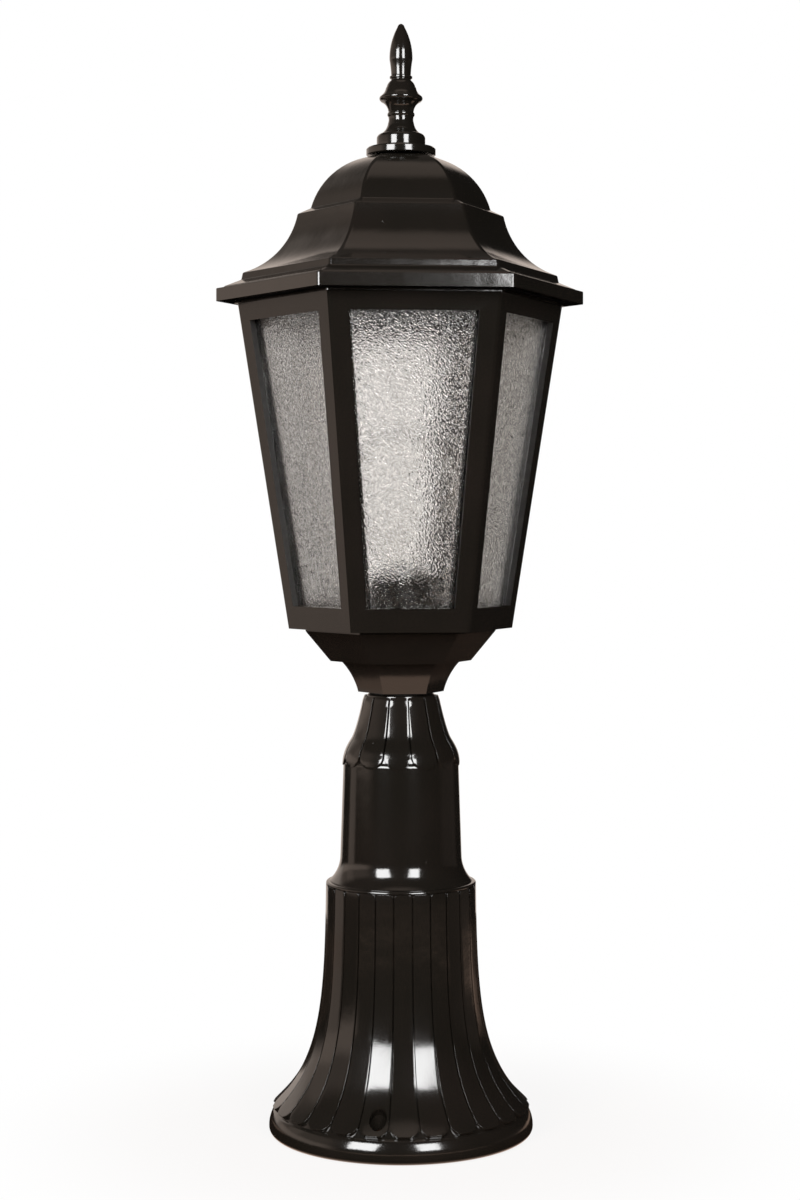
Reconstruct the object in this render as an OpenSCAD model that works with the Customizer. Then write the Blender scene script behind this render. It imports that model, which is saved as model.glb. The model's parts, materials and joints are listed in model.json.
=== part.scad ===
// Hexagonal pedestal lantern on a fluted bell base, millimetres.
// Origin: centre of the underside. +Z is up, the front window faces -Y, two corners lie on the X axis.
// Hexagonal sizes ending in _d are measured across the corners.

/* [Pedestal] */
// Diameter of the foot rim
foot_d = 144; // [136:1:156]
// Height of the plain rolled rim under the petals
rim_h = 13; // [11:0.5:16]
// Height of the fluted bell up to its ledge
bell_h = 137; // [120:1:170]
// Diameter at the top of the bell
bell_top_d = 80.8; // [78:0.2:90]
// Height over which the flare dies away
flare_h = 26; // [22:1:30]
// Height of the cove above the bell ledge
cove_h = 13; // [9:0.5:18]
// Diameter of the plain shaft at its foot
shaft_d = 66; // [63:0.5:70]
// Diameter of the plain shaft at its top
shaft_top_d = 62.6; // [60:0.2:64]
// Height of the plain shaft
shaft_h = 49.5; // [35:0.5:90]
// Height of the shoulder and neck above the shaft
neck_h = 39.5; // [37:0.5:46]
// Diameter of the neck where it meets the cup
neck_top_d = 37; // [36:0.5:40]
// Wall thickness of the pedestal casting
pedestal_wall = 3.5; // [2.6:0.1:4.2]
// Number of petals round the neck; the bell has twice as many
neck_petals = 13; // [9:1:15]
// How far a petal stands out of the casting
petal_rise = 0.9; // [0.5:0.1:1.3]
// Width of the groove between two petals
groove_w = 1.1; // [0.7:0.1:2]
// Turn of the pedestal, which sets where the fixing holes point
pedestal_turn = -16; // [-60:1:60]
// Turn of the neck's petals about the upright axis, in degrees
neck_turn = -9; // [-60:1:60]

/* [Fixing] */
// Diameter of each fixing hole
fixing_d = 8.7; // [5:0.1:9.5]
// Diameter of the circle through the fixing holes
fixing_circle_d = 126; // [124:0.5:128]
// Diameter of the pad round each fixing hole
fixing_pad_d = 15.4; // [13.5:0.1:16]

/* [Cup] */
// Thickness of the gasket between neck and cup
neck_gasket_t = 1; // [0.6:0.1:2]
// Cup: size at its foot
cup_foot_d = 46.6; // [44:0.2:50]
// Cup: size at the top of its cove
cup_cove_d = 65; // [60:0.5:70]
// Cup: height of the cove
cup_cove_h = 16.7; // [14:0.1:22]
// Cup: size at the foot of the straight upper stage
cup_mid_d = 76.6; // [73:0.2:82]
// Cup: size at its rim
cup_rim_d = 103.7; // [100:0.1:110]
// Cup: height of the straight upper stage
cup_upper_h = 16.3; // [14:0.1:24]
// Cup: height of the upright lip at its rim
cup_lip_h = 1.4; // [1:0.1:3]
// Wall thickness of the cup
cup_wall = 3; // [2.2:0.1:3.6]

/* [Cage] */
// Cage: size at its foot
cage_foot_d = 122.5; // [116:0.5:128]
// Cage: size at its top
cage_top_d = 176.6; // [168:0.2:180]
// Cage: height of the leaning walls
cage_h = 174.6; // [150:0.2:220]
// Cage: thickness of the leaning walls
cage_wall = 3.2; // [2.6:0.1:3.6]
// Cage: thickness of the floor
cage_floor_t = 3; // [2:0.1:4]
// Cage: how far the flange round its top stands out past the walls
cage_flange_out = 1.7; // [1.2:0.1:4]
// Cage: thickness of that flange
cage_flange_t = 1.4; // [1:0.1:2.5]
// Window: width at its sill
window_foot_w = 46.3; // [44:0.1:47.5]
// Window: width at its head
window_top_w = 66.7; // [60:0.1:68]
// Window: height of the sill above the foot of the cage, along the wall
window_sill_h = 12.5; // [11.5:0.1:18]
// Window: height of the rail above it, along the wall
window_head_h = 9.6; // [8:0.1:16]

/* [Panes] */
// Thickness of a glass pane
pane_t = 3; // [2:0.1:3.4]
// How far a pane reaches behind the window frame on each side
pane_lap = 2; // [1.6:0.1:2.4]
// Thickness of the lips behind the pane grooves
groove_lip_t = 2; // [1.5:0.1:3]
// Width of a corner post behind the walls
post_w = 11; // [10:0.2:13]

/* [Roof] */
// Roof: how far the brim stands out past the top of the cage
brim_out = 11.7; // [9:0.1:16]
// Roof: height of the upright fascia
fascia_h = 6.9; // [5.5:0.1:9]
// Roof: how far the foot of the concave skirt stands in from the top of the cage
skirt_in = 3.1; // [1.5:0.1:5]
// Roof: rise of the sloping ledge on the brim
brim_rise = 5.1; // [4:0.1:8]
// Roof: height of the small riser above that ledge
riser_h = 3.6; // [2.5:0.1:6]
// Roof: size at the top of the skirt
skirt_top_d = 112.6; // [108:0.2:118]
// Roof: height of the skirt
skirt_h = 31.4; // [28:0.2:40]
// Roof: radius of the hollow of the skirt
skirt_bow = 41.5; // [36:0.5:60]
// Roof: size at the foot of the crown
crown_d = 98.4; // [94:0.2:104]
// Roof: rise of the ledge between skirt and crown
crown_ledge_h = 3.1; // [2:0.1:5]
// Roof: height of the crown
crown_h = 28.4; // [24:0.2:36]
// Roof: radius of the swell of the crown
crown_bow = 38.7; // [37:0.1:46]
// Wall thickness of the roof casting
roof_wall = 2.5; // [2:0.1:3.2]
// Thickness of the gasket under the roof
roof_gasket_t = 1; // [0.8:0.1:2]

/* [Finial] */
// Finial: height
finial_h = 70.8; // [64:0.2:84]
// Finial: diameter of the foot flange
finial_flange_d = 37.4; // [34:0.2:42]
// Finial: diameter of the collar
finial_collar_d = 26.2; // [24:0.2:28]
// Finial: diameter of the disc
finial_disc_d = 23.6; // [21:0.2:28]
// Finial: diameter of the spear
finial_spear_d = 12.4; // [12:0.2:15]
// Diameter of the threaded rod that the finial screws onto
rod_d = 6; // [5:0.5:6]

/* [Bridge] */
// Width of the bridge strap
bridge_w = 14; // [12:0.5:18]
// Thickness of the bridge strap
bridge_t = 3; // [2:0.1:4]
// Height of the strap's top below the top of the leaning walls
bridge_drop = 0.5; // [0.4:0.1:2]
// Diameter of the bridge and cage screws
screw_d = 4; // [3.5:0.5:4]

/* [Lampholder and lamp] */
// Outer diameter of the threaded nipple
nipple_d = 10; // [9:0.5:11]
// Bore of the threaded nipple
nipple_bore_d = 7.5; // [7:0.1:7.8]
// Outer diameter of the lampholder
holder_d = 39; // [37:0.5:41]
// Height of the lampholder's rim above the floor of the cage
holder_rise = 24.6; // [22:0.2:30]
// Diameter of the lamp's screw cap
lamp_cap_d = 26.4; // [26:0.1:26.8]
// Diameter of the lamp's glass
lamp_d = 60; // [50:1:64]
// Length of the lamp
lamp_l = 104; // [96:1:110]

/* [Wiring] */
// Diameter of an insulated lead
lead_d = 2.2; // [1.6:0.1:2.3]
// Width of the terminal block
block_w = 29; // [26:0.5:30]
// Height of the terminal block
block_h = 20; // [18:0.5:24]
// Depth of the terminal block
block_t = 14; // [12:0.5:15]
// Height of the terminal block's foot above the ground
block_z = 80; // [76:1:86]

/* [Hidden] */
$fn = 96;
tiny = 0.01;
bite = 0.5;         // how far a cut runs past the face that it opens
seat_gap = 0.3;     // gap between parts that lift or turn against each other
thread_gap = 0.06;  // running clearance of a screwed joint, on the radius
slide_gap = 0.15;   // clearance on each side of a part that drops into its place
face_gap = 0.02;    // clearance between faces that rest together

// Colours, as the photograph shows them
enamel = "#2c2420";
glass = "#c9c4bb";
zinc = "#b9bbbd";
brassy = "#b8964f";
bakelite = "#1d1c1b";
porcelain = "#e6e2d8";

// Sizes that follow the cage
cage_flange_d = cage_top_d + 2 * cage_flange_out;
brim_d = cage_top_d + 2 * brim_out;
skirt_foot_d = cage_top_d - 2 * skirt_in;

// Heights of the stack, from the ground up
z_cove = bell_h + cove_h;
z_shoulder = z_cove + shaft_h;
z_neck = z_shoulder + neck_h;
z_cup = z_neck + neck_gasket_t;
z_cup_step = z_cup + cup_cove_h;
z_cup_lip = z_cup_step + cup_upper_h;
z_cage = z_cup_lip + cup_lip_h;
z_cage_top = z_cage + cage_h;
z_flange = z_cage_top + cage_flange_t;
z_brim = z_flange;
z_fascia = z_brim + fascia_h;
z_riser = z_fascia + brim_rise;
z_skirt = z_riser + riser_h;
z_skirt_top = z_skirt + skirt_h;
z_crown = z_skirt_top + crown_ledge_h;
z_crown_top = z_crown + crown_h;
z_finial = z_crown_top + seat_gap;

// ---------------------------------------------------------------- curves

// Points of an arc from p to q; a positive radius has its centre on the left of the way from p to q
function bow(p, q, radius, n = 8) =
  let (half = norm(q - p) / 2,
       side = [p[1] - q[1], q[0] - p[0]] / (2 * half),
       centre = (p + q) / 2 + side * sign(radius) * sqrt(max(radius * radius - half * half, 0)),
       a = atan2(p[1] - centre[1], p[0] - centre[0]),
       b = atan2(q[1] - centre[1], q[0] - centre[0]),
       sweep = radius > 0 ? (b - a + 720) % 360 : -((a - b + 720) % 360))
  [for (i = [0 : n]) centre + abs(radius) * [cos(a + sweep * i / n), sin(a + sweep * i / n)]];

// Points of a cubic curve
function curve(a, b, c, d, n = 10) =
  [for (i = [0 : n]) let (t = i / n, s = 1 - t) s*s*s * a + 3*s*s*t * b + 3*s*t*t * c + t*t*t * d];

// Solid with six equal sides; outline = [[corner radius, height], ...] from the foot to the top
module hex_body(outline) {
  reach = 2 * max([for (p = outline) p[0]]) + 2;
  right = [for (p = outline) [p[0] * cos(30), p[1]]];
  left = [for (i = [len(outline) - 1 : -1 : 0]) [-outline[i][0] * cos(30), outline[i][1]]];
  intersection_for (a = [30, 90, 150])
    rotate([0, 0, a]) rotate([90, 0, 0])
      linear_extrude(height = reach, center = true) polygon(concat(right, left));
}

// Copies round the axis
module ring_of(count) {
  for (i = [0 : count - 1]) rotate([0, 0, i * 360 / count]) children();
}

// Hexagon nut with its bore, standing on z = 0
module nut(across_flats, height, bore_d) {
  difference() {
    cylinder(h = height, d = across_flats / cos(30), $fn = 6);
    translate([0, 0, -bite]) cylinder(h = height + 2 * bite, d = bore_d);
  }
}

// Pan-head screw: head up from z = 0, shank down
module pan_screw(shank_d, shank_l, head_d, head_h) {
  rotate_extrude()
    polygon(concat([[0, -shank_l], [shank_d / 2, -shank_l], [shank_d / 2, 0], [head_d / 2, 0]],
                   bow([head_d / 2, head_h * 0.35], [head_d / 4, head_h], head_d * 0.3, 5),
                   [[0, head_h]]));
}

// Tube swept along a route of points, closed at both ends
module lead(route, d, sides = 8) {
  n = len(route);
  function heading(i) =
    let (v = route[min(i + 1, n - 1)] - route[max(i - 1, 0)]) v / norm(v);
  function ring(i) =
    let (t = heading(i), u0 = cross([0, 1, 0.0001], t), u = u0 / norm(u0), v = cross(t, u))
    [for (k = [0 : sides - 1]) route[i] + d / 2 * (cos(360 * k / sides) * u + sin(360 * k / sides) * v)];
  polyhedron(
    points = [for (i = [0 : n - 1]) each ring(i)],
    faces = concat(
      [[for (k = [0 : sides - 1]) k]],
      [for (i = [0 : n - 2], k = [0 : sides - 1])
        let (a = i * sides + k, b = i * sides + (k + 1) % sides) [a, a + sides, b + sides, b]],
      [[for (k = [sides - 1 : -1 : 0]) (n - 1) * sides + k]]));
}

// Smooth route through hand-chosen points: each inner point becomes a rounded bend
function smooth_route(p, steps = 4) =
  concat([p[0]],
    [for (i = [1 : len(p) - 2], j = [0 : steps])
      let (t = j / steps,
           a = p[i] + (p[i - 1] - p[i]) * 0.35,
           b = p[i] + (p[i + 1] - p[i]) * 0.35)
      (1 - t) * (1 - t) * a + 2 * t * (1 - t) * p[i] + t * t * b],
    [p[len(p) - 1]]);

// ---------------------------------------------------------------- pedestal

bell_r = bell_top_d / 2;
petal_end_r = foot_d / 2 - 2.4;                        // where the petals stop above the rim
flare = petal_end_r - bell_r;                          // widening of the bell at its foot
bell_petals = 2 * neck_petals;
ledge_lip = 1.8;                                       // height of the plain lip on top of the bell
neck_in = 0.8;                                         // how far the neck's petals start below its shoulder
petal_top_z = bell_h - ledge_lip;

// Radius of the petals' faces at height z, and its slope
function bell_radius(z) = bell_r + flare * exp(-(z - rim_h - 2) / flare_h);
function bell_slope(z) = -flare / flare_h * exp(-(z - rim_h - 2) / flare_h);
// Radius of a surface parallel to those faces, a given depth below them
function bell_below(z, depth) = bell_radius(z) - depth * sqrt(1 + pow(bell_slope(z), 2));

bell_steps = 12;
function bell_z(i) = rim_h + (petal_top_z - rim_h) * pow(i / bell_steps, 1.7);
function bell_line(depth) = [for (i = [0 : bell_steps]) [bell_below(bell_z(i), depth), bell_z(i)]];

// Shoulder and neck, the petals' faces less a depth
neck_r = neck_top_d / 2;
shoulder_r = shaft_top_d / 2;
neck_bend = [shoulder_r - 4.9, z_shoulder + 15];
function neck_line(depth) = concat(
  curve([shoulder_r - depth, z_shoulder + neck_in], [shoulder_r - 0.2 - depth, z_shoulder + 7.5],
        [shoulder_r - 2.6 - depth, z_shoulder + 11.4], neck_bend - [depth, 0], 6),
  curve(neck_bend - [depth, 0], neck_bend + [-1.9 - depth, 2.9], [neck_r + 3 - depth, z_neck - 10],
        [neck_r + 1.7 - depth, z_neck - 3.5], 5));

// Outline of a petal seen square on: from the radius or height a to b, rounded at the chosen ends
function tongue(a, b, half_a, half_b, corner_a, corner_b) = concat(
  bow([a, half_a - corner_a], [a + corner_a, half_a], -corner_a, 3),
  bow([b - corner_b, half_b], [b, half_b - corner_b], -corner_b, 3),
  bow([b, corner_b - half_b], [b - corner_b, -half_b], -corner_b, 3),
  bow([a + corner_a, -half_a], [a, corner_a - half_a], -corner_a, 3));

function petal_half(radius, count) = radius * sin(180 / count) - groove_w / 2;

module bell_petal_masks() {
  foot_corner = 5;
  top_corner = 1.6;
  intersection() {
    ring_of(bell_petals)
      linear_extrude(height = bell_h)
        polygon(tongue(bell_r / 2, petal_end_r + 0.4, petal_half(bell_r / 2, bell_petals),
                       petal_half(petal_end_r + 0.4, bell_petals), tiny, foot_corner));
    ring_of(bell_petals)
      rotate([90, 0, 90]) linear_extrude(height = foot_d)
        polygon([for (p = tongue(0, petal_top_z, petal_half(bell_r, bell_petals) + bell_h * 0.06,
                                 petal_half(bell_r, bell_petals), tiny, top_corner)) [p[1], p[0]]]);
  }
}

module bell_petals_raised() {
  intersection() {
    rotate_extrude() polygon(concat(bell_line(0), [for (i = [bell_steps : -1 : 0])
      [bell_below(bell_z(i), petal_rise + 1), bell_z(i)]]));
    bell_petal_masks();
  }
}

module neck_petals_raised() {
  half = petal_half(shoulder_r, neck_petals);
  corner = 5.4;
  line = neck_line(0);
  back = neck_line(petal_rise + 1);
  intersection() {
    rotate_extrude() polygon(concat(line, [for (i = [len(back) - 1 : -1 : 0]) back[i]]));
    ring_of(neck_petals)
      linear_extrude(height = z_neck)
        polygon([[neck_r / 2, petal_half(neck_r / 2, neck_petals)],
                 [shoulder_r + 1, petal_half(shoulder_r + 1, neck_petals)],
                 [shoulder_r + 1, -petal_half(shoulder_r + 1, neck_petals)],
                 [neck_r / 2, -petal_half(neck_r / 2, neck_petals)]]);
    ring_of(neck_petals)
      rotate([90, 0, 90]) linear_extrude(height = foot_d)
        polygon([for (p = tongue(z_shoulder + neck_in, z_neck + corner, half, half, corner, tiny))
                 [p[1], p[0]]]);
  }
}

// The bell's top plate and the column's foot flange, held together by three screws
foot_flange_t = 4;
joint_bore_r = bell_r - petal_rise - pedestal_wall - 13.5;
joint_screw_r = joint_bore_r + screw_d + 1;
joint_screw_l = pedestal_wall + foot_flange_t - 0.5;

// Outer face of the bell casting at the bottom of its grooves
function bell_casting_line() = concat(
  [[foot_d / 2 - 1.5, 0], [foot_d / 2 - 0.4, 0.8], [foot_d / 2, 2.5]],
  bow([foot_d / 2 - 0.3, rim_h * 0.5], [petal_end_r - 0.4, rim_h + 0.6], 9, 6),
  [for (i = [2 : bell_steps]) [bell_below(bell_z(i), petal_rise), bell_z(i)]],
  [[bell_r, petal_top_z + petal_rise]],
  [[bell_r, bell_h - 0.6], [bell_r - 0.5, bell_h]]);

// Cavity of the bell, open at the ground
function bell_cavity_line() = let (in = petal_rise + pedestal_wall) concat(
  [[0, -bite], [foot_d / 2 - 8.5, -bite], [foot_d / 2 - 8.5, rim_h * 0.35]],
  [for (i = [5 : bell_steps]) if (bell_z(i) < bell_h - 2 * pedestal_wall)
    [bell_below(bell_z(i), in), bell_z(i)]],
  [[bell_r - in, bell_h - pedestal_wall - 2], [bell_r - in - 2, bell_h - pedestal_wall],
   [0, bell_h - pedestal_wall]]);

// Outer face of the column casting: cove, shaft, shoulder and neck
function column_line() = concat(
  [[bell_r - 1.8, bell_h + face_gap]],
  bow([bell_r - 1.8, bell_h + 0.5], [shaft_d / 2, z_cove], -1.3 * cove_h, 8),
  [[shoulder_r, z_shoulder]],
  [for (p = neck_line(petal_rise)) if (p[1] > z_shoulder + 1) p],
  [[neck_r, z_neck - 0.8], [neck_r - 0.8, z_neck]]);

// Cavity of the column, open at its foot
function column_cavity_line() = let (in = petal_rise + pedestal_wall) concat(
  [[0, bell_h - bite], [joint_bore_r, bell_h - bite], [joint_bore_r, bell_h + foot_flange_t],
   [shaft_d / 2 - pedestal_wall, bell_h + foot_flange_t], [shoulder_r - pedestal_wall, z_shoulder - 3]],
  [for (p = neck_line(in)) if (p[1] > z_shoulder + 6 && p[1] < z_neck - 2 - pedestal_wall) p],
  [[neck_r + 1 - in, z_neck - pedestal_wall], [0, z_neck - pedestal_wall]]);

// Upright flat inside the bell that carries the terminal block and the earth screw
lug_y = bell_r - petal_rise - pedestal_wall - 6;
lug_w = block_w + 1;
lug_z = block_z - 6;
earth_z = block_z + block_h + 24;
lug_top_z = min(earth_z + 7, bell_h - 8);
block_screw_l = 8;
block_screw_d = 3;
block_head_d = 3.6;

// Places of the three joint screws
module joint_ring() { rotate([0, 0, -90]) ring_of(3) translate([joint_screw_r, 0, 0]) children(); }

module bell() {
  color(enamel) difference() {
    union() {
      rotate([0, 0, pedestal_turn - 90]) {
        difference() {
          union() {
            rotate_extrude() polygon(concat(bell_casting_line(), [[0, bell_h], [0, 0]]));
            bell_petals_raised();
            intersection() {
              ring_of(2) translate([fixing_circle_d / 2, 0, 0]) cylinder(h = bell_h, d = fixing_pad_d);
              rotate_extrude() polygon(concat([[0, 0]], [for (p = bell_line(-0.5))
                if (p[1] < bell_h / 2) p], [[0, bell_h / 2]]));
            }
          }
          rotate_extrude() polygon(bell_cavity_line());
        }
        // bosses that carry the fixing screws down to the ground
        intersection() {
          ring_of(2) translate([fixing_circle_d / 2, 0, 0]) cylinder(h = bell_h, d = fixing_pad_d);
          rotate_extrude() polygon(concat([[0, 0], [foot_d / 2 - 3, 0]],
            [for (p = bell_line(petal_rise)) if (p[1] < bell_h / 2) p], [[0, bell_h / 2]]));
        }
      }
      // lug for the terminal block
      intersection() {
        translate([-lug_w / 2, lug_y, lug_z]) cube([lug_w, bell_r, lug_top_z - lug_z]);
        cylinder(h = bell_h, r = bell_r - petal_rise - 1);
      }
    }
    rotate([0, 0, pedestal_turn - 90]) ring_of(2) translate([fixing_circle_d / 2, 0, -bite])
      cylinder(h = bell_h, d = fixing_d);
    translate([0, 0, bell_h - pedestal_wall - bite])
      cylinder(h = pedestal_wall + 2 * bite, r = joint_bore_r);
    joint_ring() translate([0, 0, bell_h - pedestal_wall - bite])
      cylinder(h = pedestal_wall + 2 * bite, d = screw_d + 2 * slide_gap);
    translate([block_screw_x, lug_y - bite, block_z + block_h / 2]) rotate([-90, 0, 0])
      cylinder(h = block_screw_l + bite, d = block_screw_d + 2 * face_gap);
    translate([0, lug_y - bite, earth_z]) rotate([-90, 0, 0])
      cylinder(h = block_screw_l + bite, d = screw_d + 2 * face_gap);
  }
}

module column() {
  color(enamel) difference() {
    rotate([0, 0, neck_turn - 90]) difference() {
      union() {
        rotate_extrude() polygon(concat(column_line(), [[0, z_neck], [0, bell_h + face_gap]]));
        neck_petals_raised();
      }
      rotate_extrude() polygon(column_cavity_line());
    }
    translate([0, 0, z_neck - 2 * pedestal_wall])
      cylinder(h = 3 * pedestal_wall, d = nipple_d + 2 * slide_gap);
    joint_ring() translate([0, 0, bell_h - bite])
      cylinder(h = foot_flange_t + 2 * bite, d = screw_d + 2 * face_gap);
  }
}

module column_screws() {
  color(zinc) joint_ring() translate([0, 0, bell_h - pedestal_wall - face_gap]) rotate([180, 0, 0])
    pan_screw(screw_d, joint_screw_l, 2 * screw_d, 0.6 * screw_d);
}

// ---------------------------------------------------------------- cup and nipple

cup_floor_t = cup_wall;
nipple_nut_h = 5;
nipple_nut_af = nipple_d + 5;
nipple_washer_t = 1.2;
z_washer = z_neck - pedestal_wall - nipple_washer_t;
z_nut_lower = z_washer - nipple_nut_h;
nipple_foot_z = z_nut_lower - 3;
z_nut_upper = z_cup + cup_floor_t;
holder_foot_z = z_nut_upper + nipple_nut_h + 2;
holder_foot_t = 3.5;
nipple_top_z = holder_foot_z + holder_foot_t + 1;

module neck_gasket() {
  color(bakelite) translate([0, 0, z_neck + face_gap]) difference() {
    cylinder(h = neck_gasket_t - 2 * face_gap, r = neck_r - 1.2);
    translate([0, 0, -bite]) cylinder(h = neck_gasket_t + 2 * bite, d = nipple_d + 2 * slide_gap);
  }
}

module nipple() {
  color(zinc) translate([0, 0, nipple_foot_z]) difference() {
    cylinder(h = nipple_top_z - nipple_foot_z, d = nipple_d);
    translate([0, 0, -bite]) cylinder(h = nipple_top_z - nipple_foot_z + 2 * bite, d = nipple_bore_d);
  }
}

module nipple_washer() {
  color(zinc) translate([0, 0, z_washer]) difference() {
    cylinder(h = nipple_washer_t - face_gap, d = nipple_nut_af + 6);
    translate([0, 0, -bite]) cylinder(h = nipple_washer_t + 2 * bite, d = nipple_d + 2 * slide_gap);
  }
}

module nipple_nut(z) {
  color(zinc) translate([0, 0, z]) nut(nipple_nut_af, nipple_nut_h - face_gap, nipple_d + 2 * face_gap);
}

cup_screw_r = cup_rim_d / 2 - 12;
cup_boss_d = screw_d + 5;
cup_boss_h = 3.5 * screw_d;
cage_screw_l = cage_floor_t + 2.25 * screw_d;

module cup() {
  w = cup_wall / cos(30);
  outside = concat(
    [[cup_foot_d / 2, z_cup]],
    bow([cup_foot_d / 2, z_cup], [cup_cove_d / 2, z_cup_step], -2.2 * cup_cove_h, 10),
    [[cup_mid_d / 2, z_cup_step], [cup_rim_d / 2, z_cup_lip], [cup_rim_d / 2, z_cage - face_gap]]);
  inside = [[cup_foot_d / 2 - w - 1, z_cup + cup_floor_t],
            [cup_foot_d / 2 - w + 1, z_cup + cup_cove_h * 0.5],
            [cup_cove_d / 2 - w - 2, z_cup_step - cup_wall],
            [cup_mid_d / 2 - w - 1, z_cup_step + cup_wall],
            [cup_rim_d / 2 - w, z_cup_lip], [cup_rim_d / 2 - w, z_cage + bite]];
  color(enamel) difference() {
    union() {
      difference() {
        hex_body(outside);
        hex_body(inside);
      }
      intersection() {
        ring_of(3) translate([cup_screw_r, 0, z_cage - cup_boss_h]) cylinder(h = cup_boss_h, d = cup_boss_d);
        hex_body(outside);
      }
    }
    translate([0, 0, z_cup - bite])
      cylinder(h = cup_floor_t + 2 * bite, d = nipple_d + 2 * slide_gap);
    ring_of(3) translate([cup_screw_r, 0, z_cage + cage_floor_t - cage_screw_l - bite])
      cylinder(h = cage_screw_l + bite, d = screw_d + 2 * face_gap);
  }
}

// ---------------------------------------------------------------- cage

lean = atan((cage_top_d - cage_foot_d) / 2 * cos(30) / cage_h);
wall_l = cage_h / cos(lean);                       // length of a wall along its lean
window_h = wall_l - window_sill_h - window_head_h;
function cage_radius(z) = (cage_foot_d + (cage_top_d - cage_foot_d) * (z - z_cage) / cage_h) / 2;
// Corner radius of a surface parallel to the walls, a depth inside them
function cage_inside(z, depth) = cage_radius(z) - depth / cos(lean) / cos(30);

// Frame on the outside of wall k: x along the wall, y up its lean, z outward, y = 0 at the sill
module on_wall(k) {
  rotate([0, 0, 60 * k]) translate([0, -cage_foot_d / 2 * cos(30), z_cage]) rotate([90 + lean, 0, 0])
    translate([0, window_sill_h, 0]) children();
}

// Window outline grown by lap at the sides and foot, and up to height top
module window_shape(lap, top) {
  spread = (window_top_w - window_foot_w) / 2 / window_h;
  polygon([for (s = [-1, 1], y = (s < 0 ? [top, -lap] : [-lap, top]))
    [s * (window_foot_w / 2 + spread * y + lap), y]]);
}

pane_top = window_h + window_head_h - 3;           // top edge of a pane, measured from the sill
pane_foot_z = z_cage + (window_sill_h - pane_lap) * cos(lean) + cage_wall * sin(lean);
sill_z = pane_foot_z - 0.1;
boss_r = cage_inside(z_cage_top, cage_wall + pane_t + 2 * slide_gap + groove_lip_t) - 2;
bridge_z = z_cage_top - bridge_drop - bridge_t;    // underside of the strap
bridge_boss_d = screw_d + 6;
bridge_boss_h = 9;
// Corner radius of the strap's pointed ends, inside the panes
bridge_reach = cage_inside(bridge_z, cage_wall + pane_t + 2 * slide_gap) - 2 * slide_gap;
holder_hole_d = holder_d + 4;

module cage() {
  in = cage_wall + pane_t + 2 * slide_gap;
  color(enamel) difference() {
    union() {
      difference() {
        union() {
          hex_body([[cage_foot_d / 2, z_cage], [cage_top_d / 2, z_cage_top]]);
          hex_body([[cage_top_d / 2 - 1, z_cage_top - 1.2], [cage_flange_d / 2, z_cage_top],
                    [cage_flange_d / 2, z_flange]]);
        }
        hex_body([[cage_inside(z_cage + cage_floor_t, in + 1), z_cage + cage_floor_t],
                  [cage_inside(sill_z, in + 1), sill_z],
                  [cage_inside(sill_z, cage_wall), sill_z],
                  [cage_inside(z_flange + bite, cage_wall), z_flange + bite]]);
      }
      // corner posts with the lips behind the panes
      intersection() {
        difference() {
          hex_body([[cage_foot_d / 2 - 1, z_cage + 1], [cage_top_d / 2 - 1, z_cage_top]]);
          hex_body([[cage_inside(z_cage, in + groove_lip_t), z_cage],
                    [cage_inside(z_flange, in + groove_lip_t), z_flange]]);
        }
        for (a = [0, 60, 120]) rotate([0, 0, a])
          translate([-cage_top_d / 2, -post_w / 2, z_cage]) cube([cage_top_d, post_w, cage_h]);
      }
      // bosses under the ends of the bridge
      ring_of(2) translate([boss_r, 0, bridge_z - bridge_boss_h])
        cylinder(h = bridge_boss_h - face_gap, d = bridge_boss_d);
    }
    for (k = [0 : 5]) on_wall(k) {
      translate([0, 0, -cage_wall - 1]) linear_extrude(height = cage_wall + 2)
        window_shape(0, window_h);
      translate([0, 0, -in]) linear_extrude(height = pane_t + 2 * slide_gap)
        window_shape(pane_lap + slide_gap, pane_top + 8);
    }
    translate([0, 0, z_cage - bite]) cylinder(h = cage_floor_t + 2 * bite, d = holder_hole_d);
    ring_of(3) translate([cup_screw_r, 0, z_cage - bite])
      cylinder(h = cage_floor_t + 2 * bite, d = screw_d + 2 * slide_gap);
    ring_of(2) translate([boss_r, 0, bridge_z - bridge_boss_h - bite])
      cylinder(h = bridge_boss_h + 2 * bite, d = screw_d + 2 * face_gap);
    // room for the ends of the bridge between the posts' lips
    ring_of(2) translate([boss_r - bridge_boss_d / 2, -bridge_w / 2 - slide_gap, bridge_z])
      cube([bridge_boss_d + slide_gap, bridge_w + 2 * slide_gap, cage_h]);
  }
}

module cage_screws() {
  color(zinc) ring_of(3) translate([cup_screw_r, 0, z_cage + cage_floor_t + face_gap])
    pan_screw(screw_d, cage_screw_l, 2 * screw_d, 0.6 * screw_d);
}

module pane(k) {
  color(glass, 0.5) on_wall(k) translate([0, 0, -cage_wall - slide_gap - pane_t])
    linear_extrude(height = pane_t) window_shape(pane_lap, pane_top);
}

// ---------------------------------------------------------------- lampholder and lamp

holder_r = holder_d / 2;
holder_top_z = z_cage + cage_floor_t + holder_rise;
shell_l = 23;                                      // length of the screw shell
shell_t = 0.5;
shell_r = lamp_cap_d / 2 + thread_gap + shell_t;   // outside of the screw shell
insert_top_z = holder_top_z - shell_l - 1;
insert_t = 9;
insert_foot_z = insert_top_z - insert_t;
insert_r = holder_r - 2.5;
terminal_h = 4.5;
terminal_x = 9;
contact_t = 1;

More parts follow.
